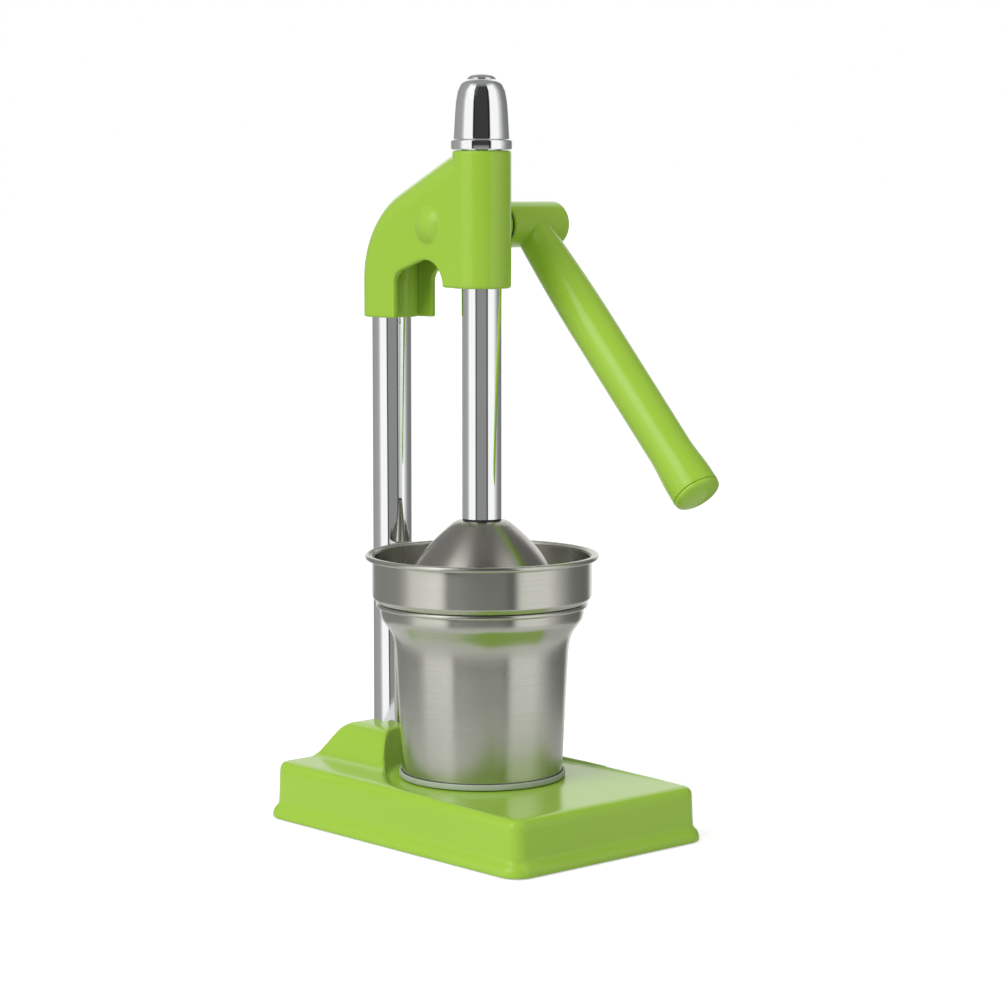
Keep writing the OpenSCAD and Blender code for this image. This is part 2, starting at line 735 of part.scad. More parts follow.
// Outside of the cup, from the middle of its floor up to its bead
function cup_side() =
    let (mouth = cup_mouth_r, waist = cup_waist_d / 2, top = cup_z + cup_h)
    concat(
        [[0, cup_z]], arc([cup_foot_r - 2, cup_z + 2], 2, 270, 350, 4),
        [[waist, top - 24.5]], [[waist + 0.45, top - 20.5], [waist + 1.4, top - 16.7]],
        [[waist + 2.9, top - 13.6], [mouth - 2.2, top - 10.4], [mouth - 0.6, top - 8.2]],
        [[mouth, top - 5.6], [mouth, top - 2.2 * cup_bead_r]]);
module cup() {
    color("silver") {
        revolve(sheet(cup_side(), sheet_t));
        rotate_extrude() translate([cup_mouth_r + 0.9 * cup_bead_r - 0.3, cup_bead_z])
            circle(r = cup_bead_r, $fn = 24);
        disc(cup_mouth_r + 0.2, 2.4 * cup_bead_r, cup_bead_z - 2 * cup_bead_r, cup_mouth_r - sheet_t);
    }
}
module cup_foot_ring() {
    top = ring_z + foot_ring_h;
    inner = cup_foot_r + 0.25;
    color("gainsboro") revolve([
        [cup_foot_r - 5.5, ring_z], [ring_r - 0.9, ring_z], [ring_r, ring_z + 0.9],
        [ring_r, top - 1.1], [ring_r - 0.6, top - 0.2], [inner + 0.3, top], [inner, top - 0.3],
        [inner, cup_z - fit_gap], [cup_foot_r - 5.5, cup_z - fit_gap]]);
}
// Outside of the funnel, from its bead down the band, over its seat and in to the floor's hole
function funnel_side() =
    let (r = funnel_d / 2, neck = cup_mouth_r - sheet_t - 0.4, seat = cup_mouth_r + 0.9 * cup_bead_r + 0.8)
    concat(
        [[r, funnel_bead_z - 0.5], [r, funnel_seat_z + 4.2], [r - 0.4, funnel_seat_z + 2.9]],
        [[r - 1.2, funnel_seat_z + 1.7], [seat, funnel_seat_z + 0.3], [seat - 0.7, funnel_seat_z]],
        [[neck + 0.5, funnel_seat_z], [neck, funnel_seat_z - 0.6], [neck, floor_z + 1.4]],
        [[neck - 0.4, floor_z + 0.4], [neck - 1.4, floor_z], [dome_foot_r - 2, floor_z]]);
module funnel() {
    drain_r = (dome_flange_r + cup_mouth_r - sheet_t - 1.8) / 2;
    color("silver") difference() {
        union() {
            revolve(sheet(backwards(funnel_side()), sheet_t));
            rotate_extrude() translate([funnel_d / 2 + funnel_lip, funnel_bead_z])
                circle(r = funnel_bead_r, $fn = 24);
            disc(funnel_d / 2 + 0.8 * funnel_bead_r, 1.2 * funnel_bead_r, funnel_bead_z - 0.6 * funnel_bead_r,
                funnel_d / 2 - sheet_t);
        }
        for (a = [0:12:348]) rotate([0, 0, a]) translate([drain_r, 0, 0]) disc(1.4, 200);
    }
}
function dome_side() =
    let (c = bell_axis, low = floor_z + 2 * sheet_t, high = dome_tip_z - 4,
        a = asin((low + 1.2 - c[1]) / dome_curve_r), b = asin((high - c[1]) / dome_curve_r),
        top_r = c[0] + dome_curve_r * cos(b))
    concat(
        [[dome_flange_r, low], [dome_foot_r + 1.2, low], [dome_foot_r + 0.3, low + 0.5]],
        arc(c, dome_curve_r, a, b, 12),
        [[top_r - 2.6, dome_tip_z - 1.7], [top_r - 6, dome_tip_z - 0.4], [top_r - 9, dome_tip_z]],
        [[3, dome_tip_z], [0, dome_tip_z]]);
module strainer_dome() {
    color("silver") difference() {
        revolve(sheet(dome_side(), sheet_t));
        for (row = [0:3], a = [0:24:336]) rotate([0, 0, a + 12 * (row % 2)])
            translate([bell_axis[0], 0, bell_axis[1]])
                rotate([0, 90 - asin((floor_z + 6.4 + 6.4 * row - bell_axis[1]) / dome_curve_r), 0])
                    disc(dome_hole_d / 2, 10, dome_curve_r - 5);
    }
}

base_shell();
bottom_plate();
non_slip_pad();
base_screws();
column_tube();
column_foot_plug();
column_clamp_plate();
column_washer();
column_bolt();
head_housing();
head_set_screws();
ram_bush_upper();
ram_bush_lower();
shaft_bush_left();
shaft_bush_right();
thrust_washer();
ram_bar();
ram_cap();
cap_stud();
bell_seal();
press_bell();
bell_washer();
bell_screw();
lever_body();
lever_end_plug();
pinion_shaft();
pinion_gear();
pinion_pin();
drive_key();
hub_washer();
hub_screw();
cup();
cup_foot_ring();
funnel();
strainer_dome();
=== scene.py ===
# %% [markdown]
# # A lever citrus press in Blender
# The press is a cast base, a chrome column, a cast head, a lever that drives a toothed ram, and a cup with
# its funnel. The CAD model already fixes where everything is and what turns or slides. This lesson dresses
# that model: each piece that shows is modelled again, smooth and with its real edges, and every piece gets a
# finish made of shader nodes. The CAD frame is loaded first, so that each new piece hangs on the right body.

# %% Load the frame
import json
import math

import bpy
from mathutils import Matrix, Vector


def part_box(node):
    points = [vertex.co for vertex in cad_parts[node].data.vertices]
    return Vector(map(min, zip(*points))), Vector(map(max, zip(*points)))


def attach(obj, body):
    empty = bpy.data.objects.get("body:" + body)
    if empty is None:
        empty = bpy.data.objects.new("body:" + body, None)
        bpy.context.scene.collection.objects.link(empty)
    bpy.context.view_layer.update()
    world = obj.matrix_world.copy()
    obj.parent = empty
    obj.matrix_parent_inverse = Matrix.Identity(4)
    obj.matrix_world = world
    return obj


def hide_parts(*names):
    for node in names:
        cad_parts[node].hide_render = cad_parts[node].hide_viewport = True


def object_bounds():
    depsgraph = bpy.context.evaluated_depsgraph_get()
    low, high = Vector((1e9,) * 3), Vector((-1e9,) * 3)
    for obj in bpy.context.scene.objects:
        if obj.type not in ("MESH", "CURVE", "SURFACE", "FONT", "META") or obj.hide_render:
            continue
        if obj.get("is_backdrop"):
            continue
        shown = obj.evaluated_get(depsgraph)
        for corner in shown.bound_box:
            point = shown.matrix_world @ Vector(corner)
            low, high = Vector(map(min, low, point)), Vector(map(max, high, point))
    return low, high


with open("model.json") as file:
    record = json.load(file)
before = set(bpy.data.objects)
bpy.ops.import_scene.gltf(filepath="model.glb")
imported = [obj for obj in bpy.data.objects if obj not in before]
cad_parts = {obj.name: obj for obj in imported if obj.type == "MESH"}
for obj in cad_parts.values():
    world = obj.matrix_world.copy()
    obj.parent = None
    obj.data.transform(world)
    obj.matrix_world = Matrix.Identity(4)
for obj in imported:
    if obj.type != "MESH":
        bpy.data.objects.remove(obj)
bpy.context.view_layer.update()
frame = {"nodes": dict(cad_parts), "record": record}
bpy.ops.object.select_all(action="DESELECT")

# %% [markdown]
# ## The camera
# The photograph looks at the press from its front left and a little above. A long lens far away gives the
# same mild perspective. The camera's three axes come from its turn and its tilt, and are set as one matrix.

# %% Camera
MM = 0.001
TURN, TILT = math.radians(-42.07), math.radians(6.21)
DISTANCE, FOCUS, SENSOR = 1384.54, 103.32, 36
LOOK_ASIDE, LOOK_UP = 8.92, 161.2
right = Vector((math.cos(TURN), math.sin(TURN), 0))
back = Vector((math.sin(TURN) * math.cos(TILT), -math.cos(TURN) * math.cos(TILT), math.sin(TILT)))
up = back.cross(right)
target = right * LOOK_ASIDE * MM + Vector((0, 0, LOOK_UP * MM))

camera_data = bpy.data.cameras.new("camera")
camera_data.lens = FOCUS
camera_data.sensor_width = SENSOR
camera = bpy.data.objects.new("camera", camera_data)
bpy.context.scene.collection.objects.link(camera)
axes = Matrix((right, up, back)).transposed().to_4x4()
camera.matrix_world = Matrix.Translation(target + back * DISTANCE * MM) @ axes
bpy.context.scene.camera = camera
print("camera at", [round(v, 3) for v in camera.location])

# %% [markdown]
# ## Tools of the modelling bench
# Most pieces of the press are turned, moulded or cut from plate, so three ways of working cover nearly all
# of them. An outline is traced by extruding one vertex from point to point. A turned piece spins such an
# outline round an axis, as on a lathe. A plate is the outline filled and extruded. Corners are rounded before
# tracing, because a fillet drawn in the outline stays exact.

# %% Outlines with rounded corners
def rounded(points, steps=6):
    """Points are (x, y) or (x, y, radius); a radius turns the corner into an arc."""
    made = []
    for i, point in enumerate(points):
        here = Vector(point[:2])
        radius = point[2] if len(point) > 2 else 0
        if radius == 0 or i in (0, len(points) - 1):
            made.append(here)
            continue
        before = (Vector(points[i - 1][:2]) - here)
        after = (Vector(points[i + 1][:2]) - here)
        a, b = before.normalized(), after.normalized()
        half = a.angle(b) / 2
        reach = min(radius / math.tan(half), before.length * 0.49, after.length * 0.49)
        centre = here + (a + b).normalized() * reach / math.cos(half)
        start, end = here + a * reach - centre, here + b * reach - centre
        sweep = math.atan2(start.cross(end), start.dot(end))
        for k in range(steps + 1):
            made.append(centre + Matrix.Rotation(sweep * k / steps, 2) @ start)
    return [(p[0], p[1]) for p in made]


def bow(centre, radius, first, last, steps=12):
    """Points along an arc, from one angle to another in degrees."""
    turns = [math.radians(first + (last - first) * k / steps) for k in range(steps + 1)]
    return [(centre[0] + radius * math.cos(t), centre[1] + radius * math.sin(t)) for t in turns]


def walled(points, thickness):
    """The outline of a sheet: out along one face and back along the other."""
    inner = []
    for i, point in enumerate(points):
        ahead = Vector(points[min(i + 1, len(points) - 1)]) - Vector(points[max(i - 1, 0)])
        ahead.normalize()
        inner.append((max(point[0] - ahead.y * thickness, 0), point[1] + ahead.x * thickness))
    return list(points) + inner[::-1]


# %% Tracing, turning and plates
WELD, UP = 0.000002, (0, 0, 1)


def begin(name, add, **place):
    """A primitive on its own, in edit mode with all of it selected."""
    bpy.ops.object.select_all(action="DESELECT")
    add(**place)
    piece = bpy.context.object
    piece.name = piece.data.name = name
    bpy.ops.object.mode_set(mode="EDIT")
    bpy.ops.mesh.select_mode(type="VERT")
    bpy.ops.mesh.select_all(action="SELECT")
    return piece


def close_up():
    """Welds doubles, turns the faces outwards and leaves edit mode."""
    bpy.ops.mesh.select_all(action="SELECT")
    bpy.ops.mesh.remove_doubles(threshold=WELD)
    bpy.ops.mesh.normals_make_consistent(inside=False)
    bpy.ops.object.mode_set(mode="OBJECT")


def traced(name, spots):
    """One vertex walks through all the spots, given in mm."""
    piece = begin(name, bpy.ops.mesh.primitive_plane_add, size=0.002)
    bpy.ops.mesh.merge(type="CENTER")
    spots = [Vector(s) * MM for s in spots]
    bpy.ops.transform.translate(value=spots[0])
    for a, b in zip(spots, spots[1:]):
        bpy.ops.mesh.extrude_vertices_move(TRANSFORM_OT_translate={"value": b - a})
    return piece


def turned(name, outline, foot=(0, 0, 0), along=UP, out=(1, 0, 0), steps=128, ring=False):
    """Spins an outline of (radius, height) round the axis that starts at foot."""
    foot, along, out = Vector(foot), Vector(along).normalized(), Vector(out).normalized()
    spots = [foot + out * r + along * h for r, h in outline]
    if ring:
        spots.append(spots[0])
    piece = traced(name, spots)
    bpy.ops.mesh.select_all(action="SELECT")
    bpy.ops.mesh.remove_doubles(threshold=WELD)
    bpy.ops.mesh.select_all(action="SELECT")
    bpy.ops.mesh.spin(steps=steps, angle=math.tau, center=foot * MM, axis=along)
    close_up()
    return piece


def plate(name, spots, depth):
    """Fills a traced outline and extrudes it by a vector in mm."""
    piece = traced(name, list(spots) + [spots[0]])
    bpy.ops.mesh.select_all(action="SELECT")
    bpy.ops.mesh.remove_doubles(threshold=WELD)
    bpy.ops.mesh.edge_face_add()
    bpy.ops.mesh.extrude_region_move(TRANSFORM_OT_translate={"value": Vector(depth) * MM})
    close_up()
    return piece


def box(name, low, high):
    """A block between two corners, in mm, as a tool for cutting."""
    low, high = Vector(low) * MM, Vector(high) * MM
    piece = begin(name, bpy.ops.mesh.primitive_cube_add, size=1, location=(0, 0, 0))
    bpy.ops.transform.resize(value=high - low)
    bpy.ops.transform.translate(value=(low + high) / 2)
    bpy.ops.object.mode_set(mode="OBJECT")
    return piece


def rod(name, radius, foot, along, length, steps=96):
    """A plain round bar, as a tool for cutting or adding."""
    return turned(name, [(0, 0), (radius, 0), (radius, length), (0, length)], foot, along,
                  UP if abs(along[2]) < 0.5 else (1, 0, 0), steps)


# %% Cutting, adding and softening
def only(*pieces):
    """Selects these objects alone and makes the first one active."""
    bpy.ops.object.select_all(action="DESELECT")
    for piece in pieces:
        piece.select_set(True)
    bpy.context.view_layer.objects.active = pieces[0]
    return pieces[0]


def apply(piece, kind, **values):
    """Adds a modifier, gives it its values and applies it."""
    only(piece)
    made = piece.modifiers.new(kind.lower(), kind)
    for key, value in values.items():
        setattr(made, key, value)
    bpy.ops.object.modifier_apply(modifier=made.name)
    return piece


def combine(piece, tool, how):
    """Cuts the tool off, adds it or keeps what both share, and throws the tool away."""
    apply(piece, "BOOLEAN", object=tool, operation=how, solver="EXACT")
    bpy.data.objects.remove(tool)
    return piece


def cut(piece, *tools):
    """Cuts each tool off the piece."""
    for tool in tools:
        combine(piece, tool, "DIFFERENCE")
    return piece


def add(piece, *tools):
    """Adds each tool to the piece."""
    for tool in tools:
        combine(piece, tool, "UNION")
    return piece


def gathered(pieces):
    """Joins many tools into one object, so that they cut in one go."""
    first = only(*pieces)
    bpy.ops.object.join()
    return first


def moulded(piece, grain, passes):
    """Gives a cut-out shape one even skin and melts its edges a little, as casting and paint do."""
    apply(piece, "REMESH", mode="VOXEL", voxel_size=grain * MM, use_smooth_shade=True)
    apply(piece, "SMOOTH", factor=0.5, iterations=passes)
    return piece


def smooth(piece, angle=35):
    """Shades the piece smooth, apart from edges sharper than the angle."""
    only(piece)
    bpy.ops.object.shade_smooth_by_angle(angle=math.radians(angle))
    return piece


def in_mm(values):
    """Metres as rounded millimetres, to print."""
    return [round(v / MM, 1) for v in values]


def span(piece):
    """The two corners of the box round a piece."""
    return [[pick(c[i] for c in piece.bound_box) for i in range(3)] for pick in (min, max)]


def fit(piece, body, finish, slot, *nodes):
    """Hangs the piece on its body in place of its CAD nodes and gives it its finish."""
    piece.data.materials.clear()
    piece.data.materials.append(finish)
    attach(piece, body)
    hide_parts(*nodes)
    low, high, cad_from, cad_to = map(in_mm, (*span(piece), *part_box(nodes[0])))
    print(f"{piece.name}: {len(piece.data.polygons)} faces, {low} to {high}; CAD {cad_from} to {cad_to}")
    return piece


# %% [markdown]
# ## Node groups that the finishes share
# Real finishes share a few habits: paint has a faint orange-peel, worked metal has fine lines left by the
# buffing wheel, handled parts get smudges, and edges wear first. Each habit is a node group, made once and
# used by several finishes. A group puts out only a value or a normal, and the shader itself stays in the
# material.

# %% A helper for node groups
def node_group(name, inputs, outputs):
    """An empty shader group; inputs are {name: (kind, default)}, outputs are {name: kind}."""
    group = bpy.data.node_groups.new(name, "ShaderNodeTree")
    for key, (kind, value) in inputs.items():
        socket = group.interface.new_socket(key, in_out="INPUT", socket_type="NodeSocket" + kind)
        if value is not None:
            socket.default_value = value
    for key, kind in outputs.items():
        group.interface.new_socket(key, in_out="OUTPUT", socket_type="NodeSocket" + kind)
    return group, group.nodes.new("NodeGroupInput"), group.nodes.new("NodeGroupOutput")


def ranged(nodes, links, source, low, high, to_low, to_high):
    """A Map Range node between two numbers."""
    made = nodes.new("ShaderNodeMapRange")
    for key, value in (("From Min", low), ("From Max", high), ("To Min", to_low), ("To Max", to_high)):
        made.inputs[key].default_value = value
    links.new(source, made.inputs["Value"])
    return made.outputs["Result"]


# %% Orange peel
peel, peel_in, peel_out = node_group(
    "orange_peel", {"Position": ("Vector", None), "Strength": ("Float", 0.1)}, {"Normal": "Vector"})
coarse = peel.nodes.new("ShaderNodeTexNoise")
coarse.inputs["Scale"].default_value = 420
coarse.inputs["Detail"].default_value = 2
bump = peel.nodes.new("ShaderNodeBump")
bump.inputs["Distance"].default_value = 0.0004
peel.links.new(peel_in.outputs["Position"], coarse.inputs["Vector"])
peel.links.new(coarse.outputs["Fac"], bump.inputs["Height"])
peel.links.new(peel_in.outputs["Strength"], bump.inputs["Strength"])
peel.links.new(bump.outputs["Normal"], peel_out.inputs["Normal"])

# %% Smudges and fine grain
smudge, smudge_in, smudge_out = node_group(
    "smudges", {"Position": ("Vector", None), "Scale": ("Float", 60.0), "Low": ("Float", 0.2),
                "High": ("Float", 0.3)}, {"Roughness": "Float", "Mask": "Float"})
cloud = smudge.nodes.new("ShaderNodeTexNoise")
cloud.inputs["Detail"].default_value = 2
smudge.links.new(smudge_in.outputs["Position"], cloud.inputs["Vector"])
smudge.links.new(smudge_in.outputs["Scale"], cloud.inputs["Scale"])
mask = ranged(smudge.nodes, smudge.links, cloud.outputs["Fac"], 0.2, 0.8, 0.0, 1.0)
spread = smudge.nodes.new("ShaderNodeMapRange")
smudge.links.new(mask, spread.inputs["Value"])
smudge.links.new(smudge_in.outputs["Low"], spread.inputs["To Min"])
smudge.links.new(smudge_in.outputs["High"], spread.inputs["To Max"])
smudge.links.new(spread.outputs["Result"], smudge_out.inputs["Roughness"])
smudge.links.new(mask, smudge_out.inputs["Mask"])

# %% Brushing round an upright axis
brush, brush_in, brush_out = node_group(
    "brushing", {"Position": ("Vector", None), "Lines": ("Float", 3000.0), "Strength": ("Float", 0.1)},
    {"Normal": "Vector", "Streaks": "Float"})
parts = brush.nodes.new("ShaderNodeSeparateXYZ")
angle = brush.nodes.new("ShaderNodeMath")
angle.operation = "ARCTAN2"
brush.links.new(brush_in.outputs["Position"], parts.inputs["Vector"])
brush.links.new(parts.outputs["Y"], angle.inputs[0])
brush.links.new(parts.outputs["X"], angle.inputs[1])
radius = brush.nodes.new("ShaderNodeVectorMath")
radius.operation = "LENGTH"
flat = brush.nodes.new("ShaderNodeCombineXYZ")
brush.links.new(parts.outputs["X"], flat.inputs["X"])
brush.links.new(parts.outputs["Y"], flat.inputs["Y"])
brush.links.new(flat.outputs["Vector"], radius.inputs[0])
lines = brush.nodes.new("ShaderNodeCombineXYZ")
for source, scale, key in ((angle.outputs["Value"], 2.0, "X"), (radius.outputs["Value"], None, "Y"),
                           (parts.outputs["Z"], None, "Z")):
    times = brush.nodes.new("ShaderNodeMath")
    times.operation = "MULTIPLY"
    brush.links.new(source, times.inputs[0])
    if scale is None:
        brush.links.new(brush_in.outputs["Lines"], times.inputs[1])
    else:
        times.inputs[1].default_value = scale
    brush.links.new(times.outputs["Value"], lines.inputs[key])
scratch = brush.nodes.new("ShaderNodeTexNoise")
scratch.inputs["Scale"].default_value = 1
scratch.inputs["Detail"].default_value = 3
relief = brush.nodes.new("ShaderNodeBump")
relief.inputs["Distance"].default_value = 0.0001
brush.links.new(lines.outputs["Vector"], scratch.inputs["Vector"])
brush.links.new(scratch.outputs["Fac"], relief.inputs["Height"])
brush.links.new(brush_in.outputs["Strength"], relief.inputs["Strength"])
brush.links.new(relief.outputs["Normal"], brush_out.inputs["Normal"])
brush.links.new(scratch.outputs["Fac"], brush_out.inputs["Streaks"])

# %% Edge wear
wear, wear_in, wear_out = node_group(
    "edge_wear", {"Position": ("Vector", None), "Width": ("Float", 0.0006), "Amount": ("Float", 0.5)},
    {"Mask": "Float"})
soft = wear.nodes.new("ShaderNodeBevel")
soft.samples = 4
plain = wear.nodes.new("ShaderNodeNewGeometry")
match = wear.nodes.new("ShaderNodeVectorMath")
match.operation = "DOT_PRODUCT"
wear.links.new(wear_in.outputs["Width"], soft.inputs["Radius"])
wear.links.new(soft.outputs["Normal"], match.inputs[0])
wear.links.new(plain.outputs["Normal"], match.inputs[1])
edge = ranged(wear.nodes, wear.links, match.outputs["Value"], 0.93, 0.7, 0.0, 1.0)
chips = wear.nodes.new("ShaderNodeTexNoise")
chips.inputs["Scale"].default_value = 120
chips.inputs["Detail"].default_value = 2
wear.links.new(wear_in.outputs["Position"], chips.inputs["Vector"])
broken = ranged(wear.nodes, wear.links, chips.outputs["Fac"], 0.45, 0.62, 0.0, 1.0)
for_edge = wear.nodes.new("ShaderNodeMath")
for_edge.operation = "MULTIPLY"
wear.links.new(edge, for_edge.inputs[0])
wear.links.new(broken, for_edge.inputs[1])
amount = wear.nodes.new("ShaderNodeMath")
amount.operation = "MULTIPLY"
wear.links.new(for_edge.outputs["Value"], amount.inputs[0])
wear.links.new(wear_in.outputs["Amount"], amount.inputs[1])
wear.links.new(amount.outputs["Value"], wear_out.inputs["Mask"])
print("node groups:", [g.name for g in bpy.data.node_groups])


# %% [markdown]
# ## The finishes
# One function starts a finish with the parts that all of them have: the object's own coordinates, a
# Principled BSDF with its plain values set on its sockets, and a colour that drifts a little from place to
# place, because no real surface has exactly one colour. Each finish then adds the groups that it needs.

# %% Start of a finish
def finish(name, colour, drift, scale, **values):
    """A material with a slightly uneven colour; the plain values go on the shader's own sockets."""
    from_cad = bpy.data.materials.get(name)
    if from_cad:
        from_cad.name = name + "_from_cad"
    made = bpy.data.materials.new(name)
    made.use_nodes = True
    nodes, links = made.node_tree.nodes, made.node_tree.links
    shader = nodes["Principled BSDF"]
    for key, value in values.items():
        shader.inputs[key.replace("_", " ")].default_value = value
    place = nodes.new("ShaderNodeTexCoord")
    cloud = nodes.new("ShaderNodeTexNoise")
    cloud.inputs["Scale"].default_value = scale
    cloud.inputs["Detail"].default_value = 2
    tint = nodes.new("ShaderNodeMix")
    tint.data_type = "RGBA"
    tint.inputs["A"].default_value = (*colour, 1)
    tint.inputs["B"].default_value = (*drift, 1)
    links.new(place.outputs["Object"], cloud.inputs["Vector"])
    links.new(ranged(nodes, links, cloud.outputs["Fac"], 0.3, 0.7, 0.0, 1.0), tint.inputs["Factor"])
    links.new(tint.outputs["Result"], shader.inputs["Base Color"])
    made.diffuse_color = (*colour, 1)
    return made, nodes, links, shader, place.outputs["Object"], tint.outputs["Result"]


def shared(nodes, links, group, position, **values):
    """Puts a shared group into a material."""
    made = nodes.new("ShaderNodeGroup")
    made.node_tree = group
    links.new(position, made.inputs["Position"])
    for key, value in values.items():
        made.inputs[key].default_value = value
    return made


# %% Lime paint
lime_paint, nodes, links, shader, here, tint = finish(
    "lime_paint", (0.325, 0.55, 0.044), (0.34, 0.565, 0.05), 9,
    Metallic=0.0, Coat_Weight=0.1, Coat_Roughness=0.05, Specular_IOR_Level=0.38)
rough = shared(nodes, links, smudge, here, Scale=30.0, Low=0.15, High=0.2)
skin = shared(nodes, links, peel, here, Strength=0.03)
edges = shared(nodes, links, wear, here, Width=0.0006, Amount=0.2)
paler = nodes.new("ShaderNodeMix")
paler.data_type = "RGBA"
paler.inputs["B"].default_value = (0.45, 0.66, 0.16, 1)
links.new(edges.outputs["Mask"], paler.inputs["Factor"])
links.new(tint, paler.inputs["A"])
links.new(paler.outputs["Result"], shader.inputs["Base Color"])
links.new(rough.outputs["Roughness"], shader.inputs["Roughness"])
links.new(skin.outputs["Normal"], shader.inputs["Normal"])

# %% Mirror chrome
mirror_chrome, nodes, links, shader, here, tint = finish(
    "mirror_chrome", (0.93, 0.94, 0.94), (0.90, 0.91, 0.92), 30, Metallic=1.0)
rough = shared(nodes, links, smudge, here, Scale=50.0, Low=0.03, High=0.06)
skin = shared(nodes, links, peel, here, Strength=0.006)
links.new(rough.outputs["Roughness"], shader.inputs["Roughness"])
links.new(skin.outputs["Normal"], shader.inputs["Normal"])


# %% Brushed stainless steel, and a darker copy of it that paints shade on the bell
def brushed(name, colour, drift, low, high, strength, stretch):
    """Sheet steel whose fine lines run round the upright axis."""
    made, nodes, links, shader, here, tint = finish(
        name, colour, drift, 40, Metallic=1.0, Anisotropic=stretch, Anisotropic_Rotation=0.25)
    rough = shared(nodes, links, smudge, here, Scale=25.0, Low=low, High=high)
    grain = shared(nodes, links, brush, here, Lines=5200.0, Strength=strength)
    streak = nodes.new("ShaderNodeMix")
    streak.data_type = "RGBA"
    streak.blend_type = "MULTIPLY"
    streak.inputs["Factor"].default_value = 0.35
    links.new(tint, streak.inputs["A"])
    tone = nodes.new("ShaderNodeCombineColor")
    level = ranged(nodes, links, grain.outputs["Streaks"], 0.3, 0.7, 0.7, 1.0)
    for key in ("Red", "Green", "Blue"):
        links.new(level, tone.inputs[key])
    links.new(tone.outputs["Color"], streak.inputs["B"])
    links.new(streak.outputs["Result"], shader.inputs["Base Color"])
    links.new(rough.outputs["Roughness"], shader.inputs["Roughness"])
    links.new(grain.outputs["Normal"], shader.inputs["Normal"])
    return made


satin_steel = brushed("satin_steel", (0.59, 0.59, 0.53), (0.56, 0.56, 0.50), 0.24, 0.29, 0.08, 0.7)
# The bell is the same satin steel as the cup; this darker copy is painted shade on the bell.
shaded_bell_steel = brushed("shaded_bell_steel", (0.48, 0.465, 0.42), (0.45, 0.435, 0.39), 0.21, 0.26, 0.08, 0.7)

# %% Hardware steels, bushes and rubber
zinc_steel, nodes, links, shader, here, tint = finish(
    "zinc_steel", (0.62, 0.63, 0.65), (0.50, 0.52, 0.56), 160, Metallic=1.0)
rough = shared(nodes, links, smudge, here, Scale=200.0, Low=0.28, High=0.5)
links.new(rough.outputs["Roughness"], shader.inputs["Roughness"])

tool_steel, nodes, links, shader, here, tint = finish(
    "tool_steel", (0.30, 0.30, 0.31), (0.22, 0.22, 0.23), 90, Metallic=1.0)
rough = shared(nodes, links, smudge, here, Scale=150.0, Low=0.3, High=0.45)
edges = shared(nodes, links, wear, here, Width=0.0004, Amount=0.6)
bright = nodes.new("ShaderNodeMix")
bright.data_type = "RGBA"
bright.inputs["B"].default_value = (0.6, 0.6, 0.6, 1)
links.new(edges.outputs["Mask"], bright.inputs["Factor"])
links.new(tint, bright.inputs["A"])
links.new(bright.outputs["Result"], shader.inputs["Base Color"])
links.new(rough.outputs["Roughness"], shader.inputs["Roughness"])


def moulded_polymer(name, colour, drift, scale, low, high, strength):
    """Rubber or plastic with a fine moulded skin."""
    made, nodes, links, shader, here, tint = finish(name, colour, drift, scale, Metallic=0.0)
    rough = shared(nodes, links, smudge, here, Scale=120.0, Low=low, High=high)
    skin = shared(nodes, links, peel, here, Strength=strength)
    links.new(rough.outputs["Roughness"], shader.inputs["Roughness"])
    links.new(skin.outputs["Normal"], shader.inputs["Normal"])
    return made


bush_plastic = moulded_polymer(
    "bush_plastic", (0.72, 0.69, 0.60), (0.66, 0.63, 0.54), 80, 0.4, 0.55, 0.1)
dark_rubber = moulded_polymer(
    "dark_rubber", (0.022, 0.022, 0.024), (0.035, 0.035, 0.036), 120, 0.55, 0.75, 0.25)
pale_rubber = moulded_polymer(
    "pale_rubber", (0.40, 0.45, 0.37), (0.36, 0.41, 0.33), 90, 0.42, 0.58, 0.12)
bush_brass, nodes, links, shader, here, tint = finish(
    "bush_brass", (0.62, 0.44, 0.16), (0.52, 0.35, 0.12), 120, Metallic=1.0)
rough = shared(nodes, links, smudge, here, Scale=160.0, Low=0.25, High=0.42)
links.new(rough.outputs["Roughness"], shader.inputs["Roughness"])
print("finishes:", [made.name for made in (lime_paint, mirror_chrome, satin_steel, shaded_bell_steel, zinc_steel,
                                           tool_steel, bush_plastic, dark_rubber, pale_rubber, bush_brass)])

# %% [markdown]
# ## Finishes for the CAD nodes that stay
# Bushes, gears, screws and plates sit inside the press. Their CAD shapes are right as they are, so they keep
# them, and each takes the finish that its slot in the record names.

# %% Dress the hidden hardware
finish_of = {"lime_paint": lime_paint, "mirror_chrome": mirror_chrome, "satin_steel": satin_steel,
             "zinc_steel": zinc_steel, "tool_steel": tool_steel, "bush_plastic": bush_plastic,
             "bush_brass": bush_brass, "dark_rubber": dark_rubber, "pale_rubber": pale_rubber}
slot_of = {entry["node"]: entry["material_slot"] for entry in frame["record"]["subparts"]}
for name, node in frame["nodes"].items():
    made = finish_of.get(slot_of.get(name), zinc_steel)
    for holder in node.material_slots:
        holder.material = made
print("CAD nodes dressed:", len(frame["nodes"]), "with slots from the record:", len(slot_of))

# %% [markdown]
# ## The base
# The real base is one casting: a flared rim, walls that lean in a little, a front deck with soft edges, a
# raised rear shoulder and a hump round the column. It could be sculpted or lofted. Here a block is shaped by
# insets with depth, which draw the side's profile all the way round and keep the corners true. The shoulder,
# a ramp down to the deck and the hump are added, and the room for the cup is cut as one big round scoop.

# %% Picking faces and edges by place
def pick_faces(piece, wanted):
    """Selects the faces whose centre and normal are wanted, in edit mode."""
    bpy.ops.mesh.select_mode(type="FACE")
    bpy.ops.mesh.select_all(action="DESELECT")
    bpy.ops.object.mode_set(mode="OBJECT")
    for face in piece.data.polygons:
        face.select = bool(wanted(face.center, face.normal))
    bpy.ops.object.mode_set(mode="EDIT")


